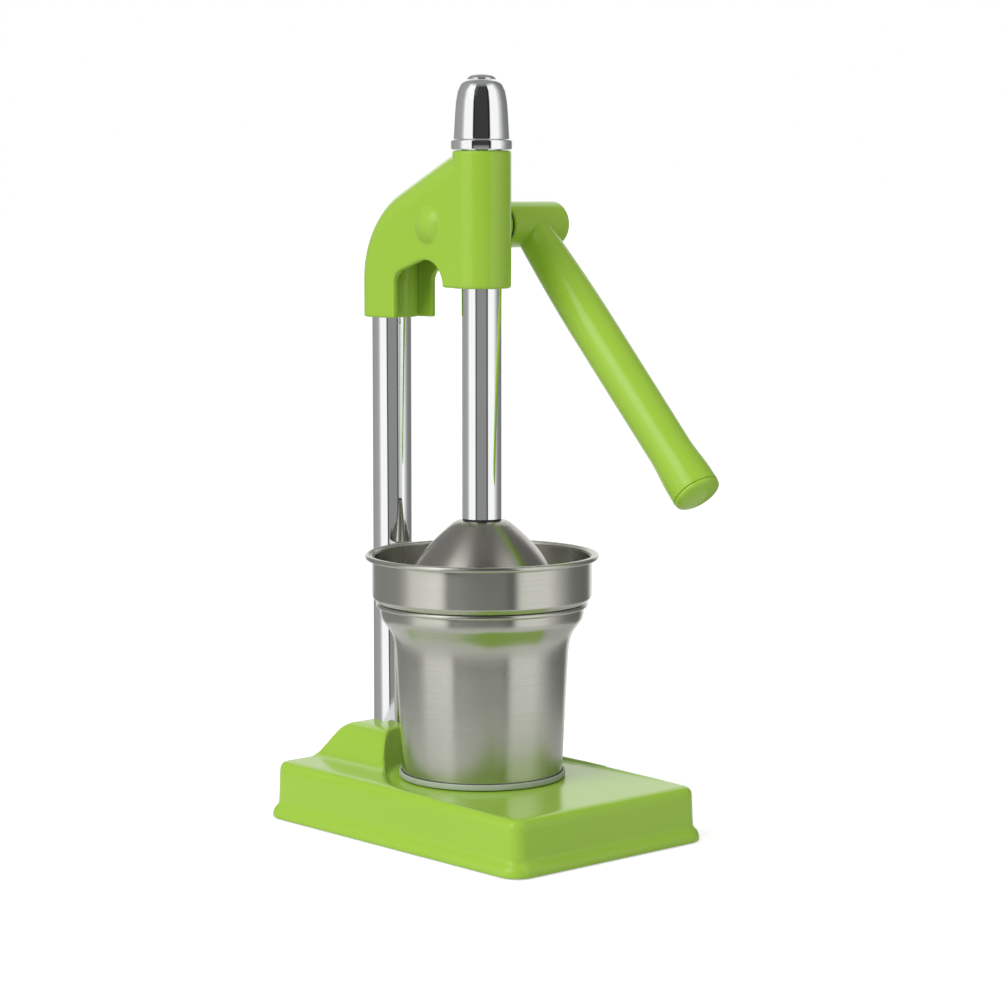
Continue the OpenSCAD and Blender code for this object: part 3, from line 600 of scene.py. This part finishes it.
def pick_edges(piece, wanted):
    """Selects the edges whose two ends are wanted, in edit mode."""
    bpy.ops.mesh.select_mode(type="EDGE")
    bpy.ops.mesh.select_all(action="DESELECT")
    bpy.ops.object.mode_set(mode="OBJECT")
    spots = [v.co for v in piece.data.vertices]
    for made in piece.data.edges:
        made.select = bool(wanted(spots[made.vertices[0]], spots[made.vertices[1]]))
    bpy.ops.object.mode_set(mode="EDIT")


# %% A slab with a drawn side
BASE_L, BASE_W, CORNER = 185, 125, 10


def slab(name, side):
    """A rounded block; side lists (inset, height) from the bottom edge to the top."""
    low, first = side[0][1], side[1][1]
    piece = begin(name, bpy.ops.mesh.primitive_cube_add, size=1, location=(0, 0, 0))
    bpy.ops.transform.resize(value=((BASE_W - 2 * side[0][0]) * MM, (BASE_L - 2 * side[0][0]) * MM,
                                    (first - low) * MM))
    bpy.ops.transform.translate(value=(0, 0, (first + low) / 2 * MM))
    pick_edges(piece, lambda a, b: abs(a.z - b.z) > 0.0001)
    bpy.ops.mesh.bevel(offset=(CORNER - side[0][0]) * MM, segments=10, affect="EDGES")
    pick_faces(piece, lambda centre, normal: normal.z > 0.9)
    for (inset, height), (inset_next, height_next) in zip(side[1:], side[2:]):
        step, rise = (inset_next - inset) * MM, (height_next - height) * MM
        if abs(step) < 1e-9:
            bpy.ops.mesh.extrude_region_move(TRANSFORM_OT_translate={"value": (0, 0, rise)})
        else:
            bpy.ops.mesh.inset(thickness=step, depth=rise, use_even_offset=True)
    close_up()
    return piece


# %% Rim, walls and deck
DECK, SHOULDER, HUMP = 26.8, 28.6, 44.6
rim = [(0, 0.4), (0, 1.6)] + [(3 * (1 - math.cos(math.radians(a))), 1.6 + 4.9 * math.sin(math.radians(a)))
                              for a in (15, 30, 45, 60, 75)] + [(2.75, 6.6), (3.1, 7.1), (3.15, 8.2)]


def side_to(top):
    """The rim, the leaning wall and the rounded upper edge."""
    wall = [(7.8 - 4 * math.cos(math.radians(a)), top - 4 + 4 * math.sin(math.radians(a)))
            for a in range(0, 91, 10)]
    return rim + wall


base = slab("base", side_to(DECK))
print("base block:", len(base.data.polygons), "faces")

# %% Shoulder, hump and scoop
COLUMN_Y = 66.89
SEAT_R, SEAT_LEAN, SWEEP_R, SWEEP_Y = 46.5, 20, 55.4, -14
RAMP_TILT = -1.45


def leaning(name, radius, low, high):
    """A cone that has the radius at the deck and opens upwards."""
    line = [(radius + (z - DECK) * math.tan(math.radians(SEAT_LEAN)), z) for z in (low, high)]
    return turned(name, [(0, low)] + line + [(0, high)], steps=160)


shoulder = slab("shoulder", side_to(SHOULDER))
combine(shoulder, box("rear_half", (-70, SWEEP_Y, 17), (70, 100, 60)), "INTERSECT")
ramp = slab("ramp", side_to(SHOULDER))
bpy.ops.object.mode_set(mode="EDIT")
bpy.ops.mesh.select_all(action="SELECT")
bpy.ops.transform.rotate(value=math.radians(RAMP_TILT), orient_axis="X",
                         center_override=(0, SWEEP_Y * MM, SHOULDER * MM))
bpy.ops.object.mode_set(mode="OBJECT")
combine(ramp, box("front_half", (-70, -88, 17), (70, SWEEP_Y + 1, 60)), "INTERSECT")
print("ramp from {} to {}".format(*map(in_mm, span(ramp))))
add(shoulder, ramp)
half = ([(39.66, 17)] + bow((39.66, 38.4), 10, 270, 225, 8)
        + rounded([(32.59, 31.33), (19.14, HUMP, 10), (0, HUMP)])[1:])
ridge = half + [(-x, z) for x, z in half[::-1][1:]]
hump = plate("hump", [(x, 0, z) for x, z in ridge], (0, 92, 0))
back_line = [(0, 17), (88.1, 17), (87.5, 24)] + bow((76, 36.6), 8, 15, 90, 10) + [(0, HUMP)]
combine(hump, plate("hump_side", [(-60, y, z) for y, z in back_line], (120, 0, 0)), "INTERSECT")
rear = add(shoulder, hump)
cut(rear, leaning("cup_room", SEAT_R, 10, 60), rod("sweep", SWEEP_R, (0, SWEEP_Y, 10), UP, 50, 160),
    box("aisle", (-SWEEP_R, -100, 10), (SWEEP_R, SWEEP_Y, 60)))
add(base, rear)
print("base with hump:", len(base.data.polygons), "faces")

# %% Hollow and column well
inside = slab("inside", [(5.5, -1), (5.6, 0.5), (6.3, 20.3), (6.5, 22.3), (7.2, 23.8), (7.9, 24.3)])
WALL = 2.6
# This hollow runs 85 mm back, past the hump's rear slope, and leaves an opening there. The CAD solid is
# closed at that place.
hump_in = plate("hump_in", [(x * 0.93, 0, z - WALL) for x, z in ridge], (0, 85, 0))
cut(hump_in, leaning("room_in", SEAT_R + WALL, 5, 65),
    rod("sweep_in", SWEEP_R + WALL, (0, SWEEP_Y, 5), UP, 60))
add(inside, hump_in)
cut(inside, rod("well", 14, (0, COLUMN_Y, 18), UP, 40))
cut(base, inside)
moulded(base, 1.0, 5)
cut(base, rod("column_hole", 10.04, (0, COLUMN_Y, 22.1), UP, 60),
    rod("bolt_hole", 4.3, (0, COLUMN_Y, 1), UP, 60))
smooth(base, 40)
fit(base, "stand", lime_paint, "lime_paint", "base_shell")

# %% [markdown]
# ## The column
# A chromed tube is the simplest turned piece: its outline is a wall 1.5 mm thick with a small chamfer, spun
# round the column's own axis. It could be a cylinder with a bore, but the outline gives both in one go.

# %% Column tube
column = turned("column", [(8.5, 22.1), (9.7, 22.1), (10, 22.4), (10, 274.1), (9.7, 274.4), (8.5, 274.4)],
                foot=(0, COLUMN_Y, 0), ring=True)
smooth(column)
fit(column, "stand", mirror_chrome, "mirror_chrome", "column_tube")

# %% [markdown]
# ## The head
# The head is a casting too. Its outside is a round bar that goes up from the column's socket, round a bend
# and on up to the ram's sleeve, with a flat web of nearly the same width below it. A bar like this could be
# a bevelled curve. Here a circle is extruded, turned through the bend step by step and extruded again, as a
# caster's pattern is built up. The web is a plate, the arch below it is cut out, and the inside is hollow.

# %% The arched bar
SOCKET, ARCH_Y, ARCH_Z, ARCH_R, ARCH_TURN, HEAD_TOP = 247.6, 33.09, 266.27, 33.8, 64.6, 328.7
head = begin("head", bpy.ops.mesh.primitive_circle_add, vertices=96, radius=13.9 * MM, fill_type="NGON")
bpy.ops.transform.translate(value=(0, COLUMN_Y * MM, SOCKET * MM))
bpy.ops.mesh.extrude_region_move(TRANSFORM_OT_translate={"value": (0, 0, (ARCH_Z - SOCKET) * MM)})
swing = math.radians(ARCH_TURN)
ARCH_STEPS = 24
for step in range(ARCH_STEPS):
    bpy.ops.mesh.extrude_region_move(TRANSFORM_OT_translate={"value": (0, 0, 0)})
    bpy.ops.transform.rotate(value=-swing / ARCH_STEPS, orient_axis="X",
                             center_override=(0, ARCH_Y * MM, ARCH_Z * MM))
reach = (ARCH_Y + ARCH_R * math.cos(swing)) / math.sin(swing)
bpy.ops.mesh.extrude_region_move(TRANSFORM_OT_translate={
    "value": (0, -math.sin(swing) * reach * MM, math.cos(swing) * reach * MM)})
close_up()
print("arched bar from {} to {}".format(*map(in_mm, span(head))))


# %% Web, sleeve, bosses and cut-outs
def side_plate(name, points, width):
    """An outline in Y and Z, as thick as the width and centred on X."""
    return plate(name, [(-width / 2, y, z) for y, z in points], (width, 0, 0))


def web_line(front, out):
    """The web's outline from its front height, moved outwards by a distance."""
    return ([(0, front), (COLUMN_Y + out, front)]
            + bow((ARCH_Y, ARCH_Z), ARCH_R + out, 0, ARCH_TURN, ARCH_STEPS)
            + [(0, HEAD_TOP - 9.3 + out / math.cos(math.radians(90 - ARCH_TURN)))])


add(head, side_plate("web", web_line(SOCKET, 0), 27.5))
combine(head, box("keep", (-50, 0, 240), (50, 120, HEAD_TOP)), "INTERSECT")
hollow = side_plate("hollow", web_line(SOCKET - 1, 5.36), 20.8)
cut(hollow, rod("socket_core", 13.4, (0, COLUMN_Y, 240), UP, 37.6),
    rod("sleeve_core", 14.6, (0, 0, 240), UP, 110))
cut(head, hollow)

CUT_A, CUT_A_R, CUT_B, CUT_B_R = Vector((26.5, 263.4)), 13.0, Vector((43.39, 265.2)), 6.0
gap = CUT_B - CUT_A
lean = math.atan2(gap.y, gap.x) + math.acos((CUT_A_R - CUT_B_R) / gap.length)
toward = Vector((math.cos(lean), math.sin(lean)))
first = math.degrees(math.atan2(toward.y, toward.x))
arch = ([(-30, 242), (-30, 263.4)] + [(13.5, 263.4)] + bow(CUT_A, CUT_A_R, 180, first, 24)[1:]
        + bow(CUT_B, CUT_B_R, first, 0, 16) + [(CUT_B.x + CUT_B_R, 242)])
cut(head, side_plate("arch", arch, 40))
sleeve = turned("sleeve", rounded([(0, 263.2), (14.15, 263.2, 0.5), (14.15, HEAD_TOP, 0.5), (0, HEAD_TOP)]))
SHAFT_Y, SHAFT_Z = 24, 293
shaft_way = {"foot": (0, SHAFT_Y, SHAFT_Z), "along": (1, 0, 0), "out": UP}
boss = turned("boss", rounded([(0, 7.5), (10.5, 7.5), (10.5, 33, 0.4), (0, 33)]), **shaft_way)
inner_boss = turned("inner_boss", [(0, -12.4), (9.7, -12.4), (9.7, -7.5), (0, -7.5)], **shaft_way)
DOME_RIM, DOME_RISE, DOME_FOOT = 9.25, 3.5, 13.4
ball = (DOME_RIM ** 2 + DOME_RISE ** 2) / (2 * DOME_RISE)
rim_angle = math.degrees(math.asin(DOME_RIM / ball))
dome_turns = [math.radians(rim_angle * (1 - k / 14)) for k in range(15)]
dome = turned("side_dome", [(0, -12.4), (DOME_RIM, -12.4)] + [
    (ball * math.sin(t), -(DOME_FOOT + DOME_RISE - ball + ball * math.cos(t))) for t in dome_turns],
    **shaft_way)
add(head, sleeve, boss, inner_boss, dome)
moulded(head, 0.7, 8)


def across(name, radius, start, length):
    """A round cutter along the shaft's axis, from the given X."""
    return rod(name, radius, (start, SHAFT_Y, SHAFT_Z), (1, 0, 0), length)


cut(head, rod("guide", 11.6, (0, 0, 262.2), UP, 64.3), rod("ram_way", 10.25, (0, 0, 278), UP, 60),
    across("gear_room", 17.4, -7.5, 15), across("bush_right", 8.07, 0, 34),
    across("bush_left", 8.07, -13, 13), rod("column_way", 10.05, (0, COLUMN_Y, 242), UP, 32.6),
    rod("screw_low", 3.02, (0, COLUMN_Y, SOCKET + 9), (0, 1, 0), 30),
    rod("screw_high", 3.02, (0, COLUMN_Y, SOCKET + 19), (0, 1, 0), 30))
smooth(head, 40)
fit(head, "stand", lime_paint, "lime_paint", "head_housing")

# %% [markdown]
# ## Lever, hub and plug
# The lever is a hollow arm cast onto a round hub. Both are turned shapes, so each gets its own outline and
# its own axis, and the two are added together. The arm swells a little along its length and flares at its
# end, where a domed plug closes it with a fine parting line.

# %% Lever
HUB_X, ARM_X, ARM_LEAN, ARM_LENGTH, ARM_END_R = 33.9, 52.3, 43.2, 175, 11.9
arm_turn = math.radians(180 - ARM_LEAN)
arm_way = Vector((0, -math.sin(arm_turn), math.cos(arm_turn)))
arm_axis = {"foot": (ARM_X, SHAFT_Y, SHAFT_Z), "along": arm_way, "out": (1, 0, 0)}
PLUG = ARM_LENGTH - 0.38 * ARM_END_R
lever = turned("lever", rounded([(0, 0), (10.85, 0), (11.35, 0.5), (11.35, 37.8, 4), (0, 37.8)], 10),
               foot=(HUB_X, SHAFT_Y, SHAFT_Z), along=(1, 0, 0), out=UP)
ROOT_R, SWELL, NECK_R = 9, 2, 10.75
flare = PLUG - 2.2 * ARM_END_R
arm = ([(0, 0)] + [(ROOT_R + SWELL * math.sin(math.radians(90 * k / 14)), flare * 0.46 * k / 14)
                   for k in range(15)]
       + [(10.9, flare * 0.75), (NECK_R, flare)]
       + [(NECK_R + (ARM_END_R - NECK_R) * (k / 12) ** 2 * (3 - 2 * k / 12),
           flare + (PLUG - 6 - flare) * k / 12) for k in range(1, 13)]
       + rounded([(ARM_END_R, PLUG - 3), (ARM_END_R, PLUG - 0.15, 0.4), (0, PLUG - 0.15)], 4))
add(lever, turned("arm", arm, **arm_axis))
cut(lever, turned("arm_bore", [(0, 23.35), (7.4, 23.35), (7.4, 180), (0, 180)], **arm_axis),
    across("shaft_bore", 6.02, HUB_X - 1, 28.3), across("screw_bore", 3.3, HUB_X, 60),
    across("screw_room", 8, HUB_X + 29.8, 20),
    box("key_way", (HUB_X + 4, SHAFT_Y - 2, SHAFT_Z), (HUB_X + 22.1, SHAFT_Y + 2, SHAFT_Z + 8)))
smooth(lever, 40)
fit(lever, "lever", lime_paint, "lime_paint", "lever_body")

# %% End plug
PLUG_R, STEM_R, PLUG_EDGE, PLUG_RISE = 11.6, 7.35, 0.9, 3.2
crown = [math.radians(a) for a in range(5, 91, 5)]
plug = ([(0, PLUG - 20.2), (6.9, PLUG - 20.2), (STEM_R, PLUG - 19.6), (STEM_R, PLUG)]
        + rounded([(STEM_R, PLUG), (PLUG_R, PLUG, 0.3), (PLUG_R, PLUG + PLUG_EDGE)], 4)[1:]
        + [(PLUG_R * math.cos(a), PLUG + PLUG_EDGE + PLUG_RISE * math.sin(a)) for a in crown])
end_plug = turned("end_plug", plug, **arm_axis)
smooth(end_plug)
fit(end_plug, "lever", lime_paint, "lime_paint", "lever_end_plug")

# %% [markdown]
# ## Ram, cap and bell
# The ram is a chromed bar with a rack cut into its back. The rack is one tooth space, copied down the bar and
# cut away in one go. The cap is a turned bullet with a collar and a small button on top, and the bell is spun
# from sheet, with a rolled edge at its mouth.

# %% Ram bar with its rack
ram = turned("ram", rounded([(0, 170.8), (3.02, 170.8), (3.02, 152.8), (9.75, 152.8), (9.75, 339.2),
                             (8.9, 340), (4.02, 340), (4.02, 326), (0, 326)]))
MODULE, RACK_Y, TRAVEL = 1.5, 9.0, 43.197
PITCH, ROOT, FLANK = math.pi * MODULE, 1.25 * MODULE, math.tan(math.radians(20))
tooth_half = PITCH / 4 + 0.08
space = [(RACK_Y - ROOT, -tooth_half + ROOT * FLANK), (RACK_Y + 2, -tooth_half - 2 * FLANK),
         (RACK_Y + 2, tooth_half + 2 * FLANK), (RACK_Y - ROOT, tooth_half - ROOT * FLANK)]
rack = side_plate("rack", [(y, z + SHAFT_Z + 0.5 * PITCH) for y, z in space], 30)
below = int((TRAVEL + 9) / PITCH)
spaces = [rack]
for k in [*range(-below, 0), 1, 2]:
    copy = rack.copy()
    copy.data = rack.data.copy()
    bpy.context.scene.collection.objects.link(copy)
    copy.data.transform(Matrix.Translation((0, 0, k * PITCH * MM)))
    spaces.append(copy)
cut(ram, gathered(spaces))
smooth(ram, 30)
fit(ram, "ram", mirror_chrome, "mirror_chrome", "ram_bar")

# %% Cap
CAP = 329.0
cap_line = rounded([(0, 0), (14.95, 0, 0.5), (14.95, 4.5, 0.9), (13.75, 4.9, 0.3), (13.6, 6.2, 0.6),
                    (13.0, 17), (12.55, 22.5), (11.7, 27.4), (10.4, 30.7), (8.8, 32.5), (7.25, 33.1, 0.25),
                    (7.0, 33.7, 0.25), (6.4, 34.6), (5.2, 35.4), (3.3, 35.85), (0, 36)], 5)
cap = turned("cap", [(r, h + CAP) for r, h in cap_line])
cut(cap, rod("ram_socket", 9.8, (0, 0, CAP - 1), UP, 12.1),
    rod("stud_hole", 4.02, (0, 0, CAP + 11), UP, 12))
smooth(cap, 40)
fit(cap, "ram", mirror_chrome, "mirror_chrome", "ram_cap")

# %% Bell, and a thin black seal that paints the shadow where the ram meets the bell
def ring_of(name, radius, height, thick):
    """A rolled bead: a small circle spun round the upright axis."""
    around = [math.tau * k / 16 for k in range(16)]
    return turned(name, [(radius + thick * math.cos(t), height + thick * math.sin(t)) for t in around],
                  ring=True)


CURVE_CENTRE, BELL_R = (-45.38, 77.19), 94.4
bell_side = bow(CURVE_CENTRE, BELL_R, 25.96, 50.98, 32) + rounded(
    [(14.0, 150.57), (12.2, 151.55, 2), (10.2, 152), (3.2, 152)], 5)[1:]
bell = turned("bell", walled(bell_side, 1.2), ring=True)
add(bell, ring_of("bell_edge", 39.3, 118.7, 1))
smooth(bell, 40)
# The bell takes the darker copy of satin steel, which paints its shade.
fit(bell, "ram", shaded_bell_steel, "satin_steel", "press_bell")
# A seal there keeps juice out of the thread, and its thin black ring also paints the dark shadow line in the
# gap between the ram and the bell.
shadow_gap_seal = turned("shadow_gap_seal", rounded([(3.3, 152.02), (9.3, 152.02, 0.2), (9.3, 152.78, 0.2), (3.3, 152.78),
                               (3.3, 152.02)]))
smooth(shadow_gap_seal)
fit(shadow_gap_seal, "ram", dark_rubber, "dark_rubber", "bell_seal")

# %% [markdown]
# ## Cup, funnel and strainer
# These three are spun from thin sheet. Their outlines pass through the heights at which the photograph shows
# a bend, and a smooth curve is laid through them. The rolled beads are small rings added to the edge.

# %% A curve through given points
def flowing(points, steps=6):
    """A smooth curve through the points, by the Catmull-Rom rule."""
    made = []
    spots = [Vector(p) for p in points]
    spots = [spots[0] * 2 - spots[1]] + spots + [spots[-1] * 2 - spots[-2]]
    for a, b, c, d in zip(spots, spots[1:], spots[2:], spots[3:]):
        for k in range(steps):
            t = k / steps
            made.append(0.5 * (2 * b + (c - a) * t + (2 * a - 5 * b + 4 * c - d) * t * t
                               + (3 * b - a - 3 * c + d) * t ** 3))
    made.append(spots[-2])
    return [(p.x, p.y) for p in made]


# %% Cup and its rubber ring
SHEET, CUP_Z = 0.8, 28.8
cup_line = (rounded([(0, CUP_Z), (38.85, CUP_Z, 2.1), (38.98, 32.5)], 6)
            + flowing([(39.3, 39), (39.95, 51), (40.58, 63), (41.2, 75), (41.62, 83), (41.9, 88),
                       (42.37, 92.0), (43.3, 95.8), (44.85, 98.9), (47.0, 102.0), (48.6, 104.4),
                       (49.25, 107), (49.3, 110.2)], 5))
cup = turned("juice_cup", walled(cup_line, SHEET)[:-1] + [(0, CUP_Z + SHEET)])
add(cup, ring_of("cup_bead", 50.08, 111.3, 1.2))
smooth(cup, 40)
fit(cup, "juice_cup", satin_steel, "satin_steel", "cup")
foot_ring = turned("foot_ring", rounded([(33.4, 27.1), (40.4, 27.1, 0.9), (40.4, 30.0, 0.9),
                                         (39.45, 30.0, 0.3), (39.15, 29.7), (39.15, 28.78), (33.4, 28.78),
                                         (33.4, 27.1)], 5))
smooth(foot_ring)
fit(foot_ring, "juice_cup", pale_rubber, "pale_rubber", "cup_foot_ring")

# %% Funnel with its drain holes
FLOOR_Z, DRAIN_R, DRAINS = 107.4, 42.97, 30
funnel_line = ([(32.8, FLOOR_Z), (46.7, FLOOR_Z)]
               + rounded([(46.9, FLOOR_Z), (48.1, FLOOR_Z, 1.2), (48.1, 112.8, 0.7), (51.3, 112.8, 0.8),
                          (53.1, 115.2, 1.4), (53.1, 134.0)], 5)[1:])
funnel = turned("juice_funnel", walled(funnel_line, SHEET), ring=True)
add(funnel, ring_of("funnel_bead", 55.14, 134.5, 1.4), ring_of("rim_lip", 53.6, 134.5, 0.7))
drain_turns = [math.tau * k / DRAINS for k in range(DRAINS)]
drains = [rod(f"drain_{k}", 1.4, (DRAIN_R * math.cos(t), DRAIN_R * math.sin(t), 104), UP, 10, 16)
          for k, t in enumerate(drain_turns)]
cut(funnel, gathered(drains))
smooth(funnel, 40)
fit(funnel, "strainer", satin_steel, "satin_steel", "funnel")

# %% Strainer dome
DOME_R, DOME_TOP, ROWS, HOLES, ROW_STEP = 86.2, 141.5, 4, 15, 6.4
curve_out, curve_z = CURVE_CENTRE
low_angle, high_angle = (math.degrees(math.asin((z - curve_z) / DOME_R)) for z in (110.2, 137.5))
dome_line = ([(39.2, 109.02), (35.94, 109.02), (35.04, 109.5)]
             + bow(CURVE_CENTRE, DOME_R, low_angle, high_angle, 24))
top_r = dome_line[-1][0]
dome_line += flowing([(top_r - 0.6, 138.1), (top_r - 2.6, 139.8), (top_r - 6, 141.1), (top_r - 9, 141.45),
                      (0, DOME_TOP)], 4)
strainer = turned("strainer", walled(dome_line, SHEET)[:-1] + [(0, DOME_TOP - SHEET)])
holes = []
for row in range(ROWS):
    slope = math.asin((FLOOR_Z + (row + 1) * ROW_STEP - curve_z) / DOME_R)
    for k in range(HOLES):
        turn = math.tau * (k + row % 2 / 2) / HOLES
        x, y = math.cos(turn), math.sin(turn)
        outward = Vector((x * math.cos(slope), y * math.cos(slope), math.sin(slope)))
        foot = Vector((x * curve_out, y * curve_out, curve_z)) + outward * (DOME_R - 5)
        side = Vector((-y, x, 0))
        holes.append(turned(f"hole_{row}_{k}", [(0, 0), (2, 0), (2, 10), (0, 10)], foot, outward, side, 20))
cut(strainer, gathered(holes))
smooth(strainer, 40)
fit(strainer, "strainer", satin_steel, "satin_steel", "strainer_dome")

# %% [markdown]
# ## The studio
# The press stands on a plain white floor that runs into a white background. A soft sun from the left models
# the shapes, and an even white sky fills the rest. Chrome shows what stands round it, so a wide bowl that
# only reflections can see carries the tones of a room: dark behind the camera, white at both sides, grey
# further round.

# %% Floor
floor = begin("floor", bpy.ops.mesh.primitive_plane_add, size=60, location=(0, 0, 0))
bpy.ops.object.mode_set(mode="OBJECT")
floor_paint = bpy.data.materials.new("floor_white")
floor_paint.use_nodes = True
nodes, links = floor_paint.node_tree.nodes, floor_paint.node_tree.links
shader = nodes["Principled BSDF"]
shader.inputs["Base Color"].default_value = (0.78, 0.78, 0.78, 1)
shader.inputs["Roughness"].default_value = 0.9
shader.inputs["Specular IOR Level"].default_value = 0.0
shader.inputs["Emission Color"].default_value = (1, 1, 1, 1)


def seen_rays(nodes, links, *others):
    """1 for rays from the camera and for the kinds named, 0 for the rest, such as light on the object."""
    path = nodes.new("ShaderNodeLightPath")
    total = path.outputs["Is Camera Ray"]
    for key in others:
        plus = nodes.new("ShaderNodeMath")
        plus.use_clamp = True
        links.new(total, plus.inputs[0])
        links.new(path.outputs[key], plus.inputs[1])
        total = plus.outputs["Value"]
    return total


links.new(ranged(nodes, links, seen_rays(nodes, links), 0, 1, 0.0, 0.55), shader.inputs["Emission Strength"])
floor.data.materials.append(floor_paint)
floor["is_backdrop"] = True

# %% Sky and sun
world = bpy.data.worlds.new("studio")
bpy.context.scene.world = world
world.use_nodes = True
nodes, links = world.node_tree.nodes, world.node_tree.links
sky = nodes["Background"]
sky.inputs["Color"].default_value = (1, 1, 1, 1)
seen = seen_rays(nodes, links, "Is Glossy Ray", "Is Transmission Ray")
links.new(ranged(nodes, links, seen, 0, 1, 0.58, 1.0), sky.inputs["Strength"])


def sun(name, toward, strength, spread):
    """A soft sun that shines from the given side."""
    data = bpy.data.lights.new(name, "SUN")
    data.energy, data.angle = strength, math.radians(spread)
    lamp = bpy.data.objects.new(name, data)
    lamp.rotation_euler = Vector(toward).to_track_quat("Z", "Y").to_euler()
    bpy.context.scene.collection.objects.link(lamp)
    print(name, "sun of strength", strength)


sun("key", (-0.8, -0.03, 0.6), 1.8, 40)

# %% The room that reflections see
toward_camera = Vector((back.x, back.y, 0)).normalized()
room = turned("room", [(260, 3), (700, 250), (1500, 900), (2000, 1900), (1700, 3000), (900, 3700),
                       (0, 3900)], steps=96)
room_paint = bpy.data.materials.new("room_tones")
room_paint.use_nodes = True
nodes, links = room_paint.node_tree.nodes, room_paint.node_tree.links
shader = nodes["Principled BSDF"]
shader.inputs["Base Color"].default_value = (0, 0, 0, 1)
shader.inputs["Specular IOR Level"].default_value = 0.0
shader.inputs["Emission Strength"].default_value = 1.0
place = nodes.new("ShaderNodeTexCoord")
turn = nodes.new("ShaderNodeMath")
turn.operation = "ARCTAN2"
for axis, socket in ((right, 0), (toward_camera, 1)):
    along = nodes.new("ShaderNodeVectorMath")
    along.operation = "DOT_PRODUCT"
    along.inputs[1].default_value = axis
    links.new(place.outputs["Object"], along.inputs[0])
    links.new(along.outputs["Value"], turn.inputs[socket])
split = nodes.new("ShaderNodeSeparateXYZ")
links.new(place.outputs["Object"], split.inputs["Vector"])
way = ranged(nodes, links, turn.outputs["Value"], -math.pi, math.pi, 0.0, 1.0)


def tones_round(middle, edge):
    """Grey tones by the angle in degrees round the room, from the camera's left to its right."""
    ramp = nodes.new("ShaderNodeValToRGB")
    stops = [(-155, 1.0), (-148, 0.3), (-92, 0.36), (-82, 0.55), (-74, 1.0), (-38, 1.0), (-35, edge),
             (-31, edge), (-27, middle), (24, middle), (28, edge), (33, edge), (37, 1.0), (70, 1.0),
             (80, 0.7), (92, 0.42), (102, 0.25), (120, 0.2), (140, 0.18), (150, 1.0)]
    for at, tone in stops:
        stop = ramp.color_ramp.elements.new(at / 360 + 0.5)
        stop.color = (tone, tone, tone, 1)
    for stop in (ramp.color_ramp.elements[0], ramp.color_ramp.elements[-1]):
        stop.color = (1, 1, 1, 1)
    links.new(way, ramp.inputs["Fac"])
    return ramp.outputs["Color"]


# Low in the room, where the cup and the column look, the dark part is paler than higher up.
mixed = nodes.new("ShaderNodeMix")
mixed.data_type = "RGBA"
links.new(ranged(nodes, links, split.outputs["Z"], 0.27, 0.33, 0.0, 1.0), mixed.inputs["Factor"])
links.new(tones_round(0.26, 0.06), mixed.inputs["A"])
links.new(tones_round(0.045, 0.02), mixed.inputs["B"])
above = nodes.new("ShaderNodeMix")
above.data_type = "RGBA"
above.inputs["B"].default_value = (0.28, 0.28, 0.28, 1)
links.new(ranged(nodes, links, split.outputs["Z"], 2.5, 3.3, 0.0, 1.0), above.inputs["Factor"])
links.new(mixed.outputs["Result"], above.inputs["A"])
links.new(above.outputs["Result"], shader.inputs["Emission Color"])
room.data.materials.append(room_paint)
room.visible_camera = room.visible_diffuse = room.visible_shadow = room.visible_transmission = False
room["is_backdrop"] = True
print("room in m:", [round(v, 2) for v in room.dimensions])

# %% View settings
bpy.context.scene.view_settings.view_transform = "Standard"
bpy.ops.object.select_all(action="DESELECT")

# %% Size
low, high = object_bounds()
print("visual box in mm:", in_mm((*low, *high)))
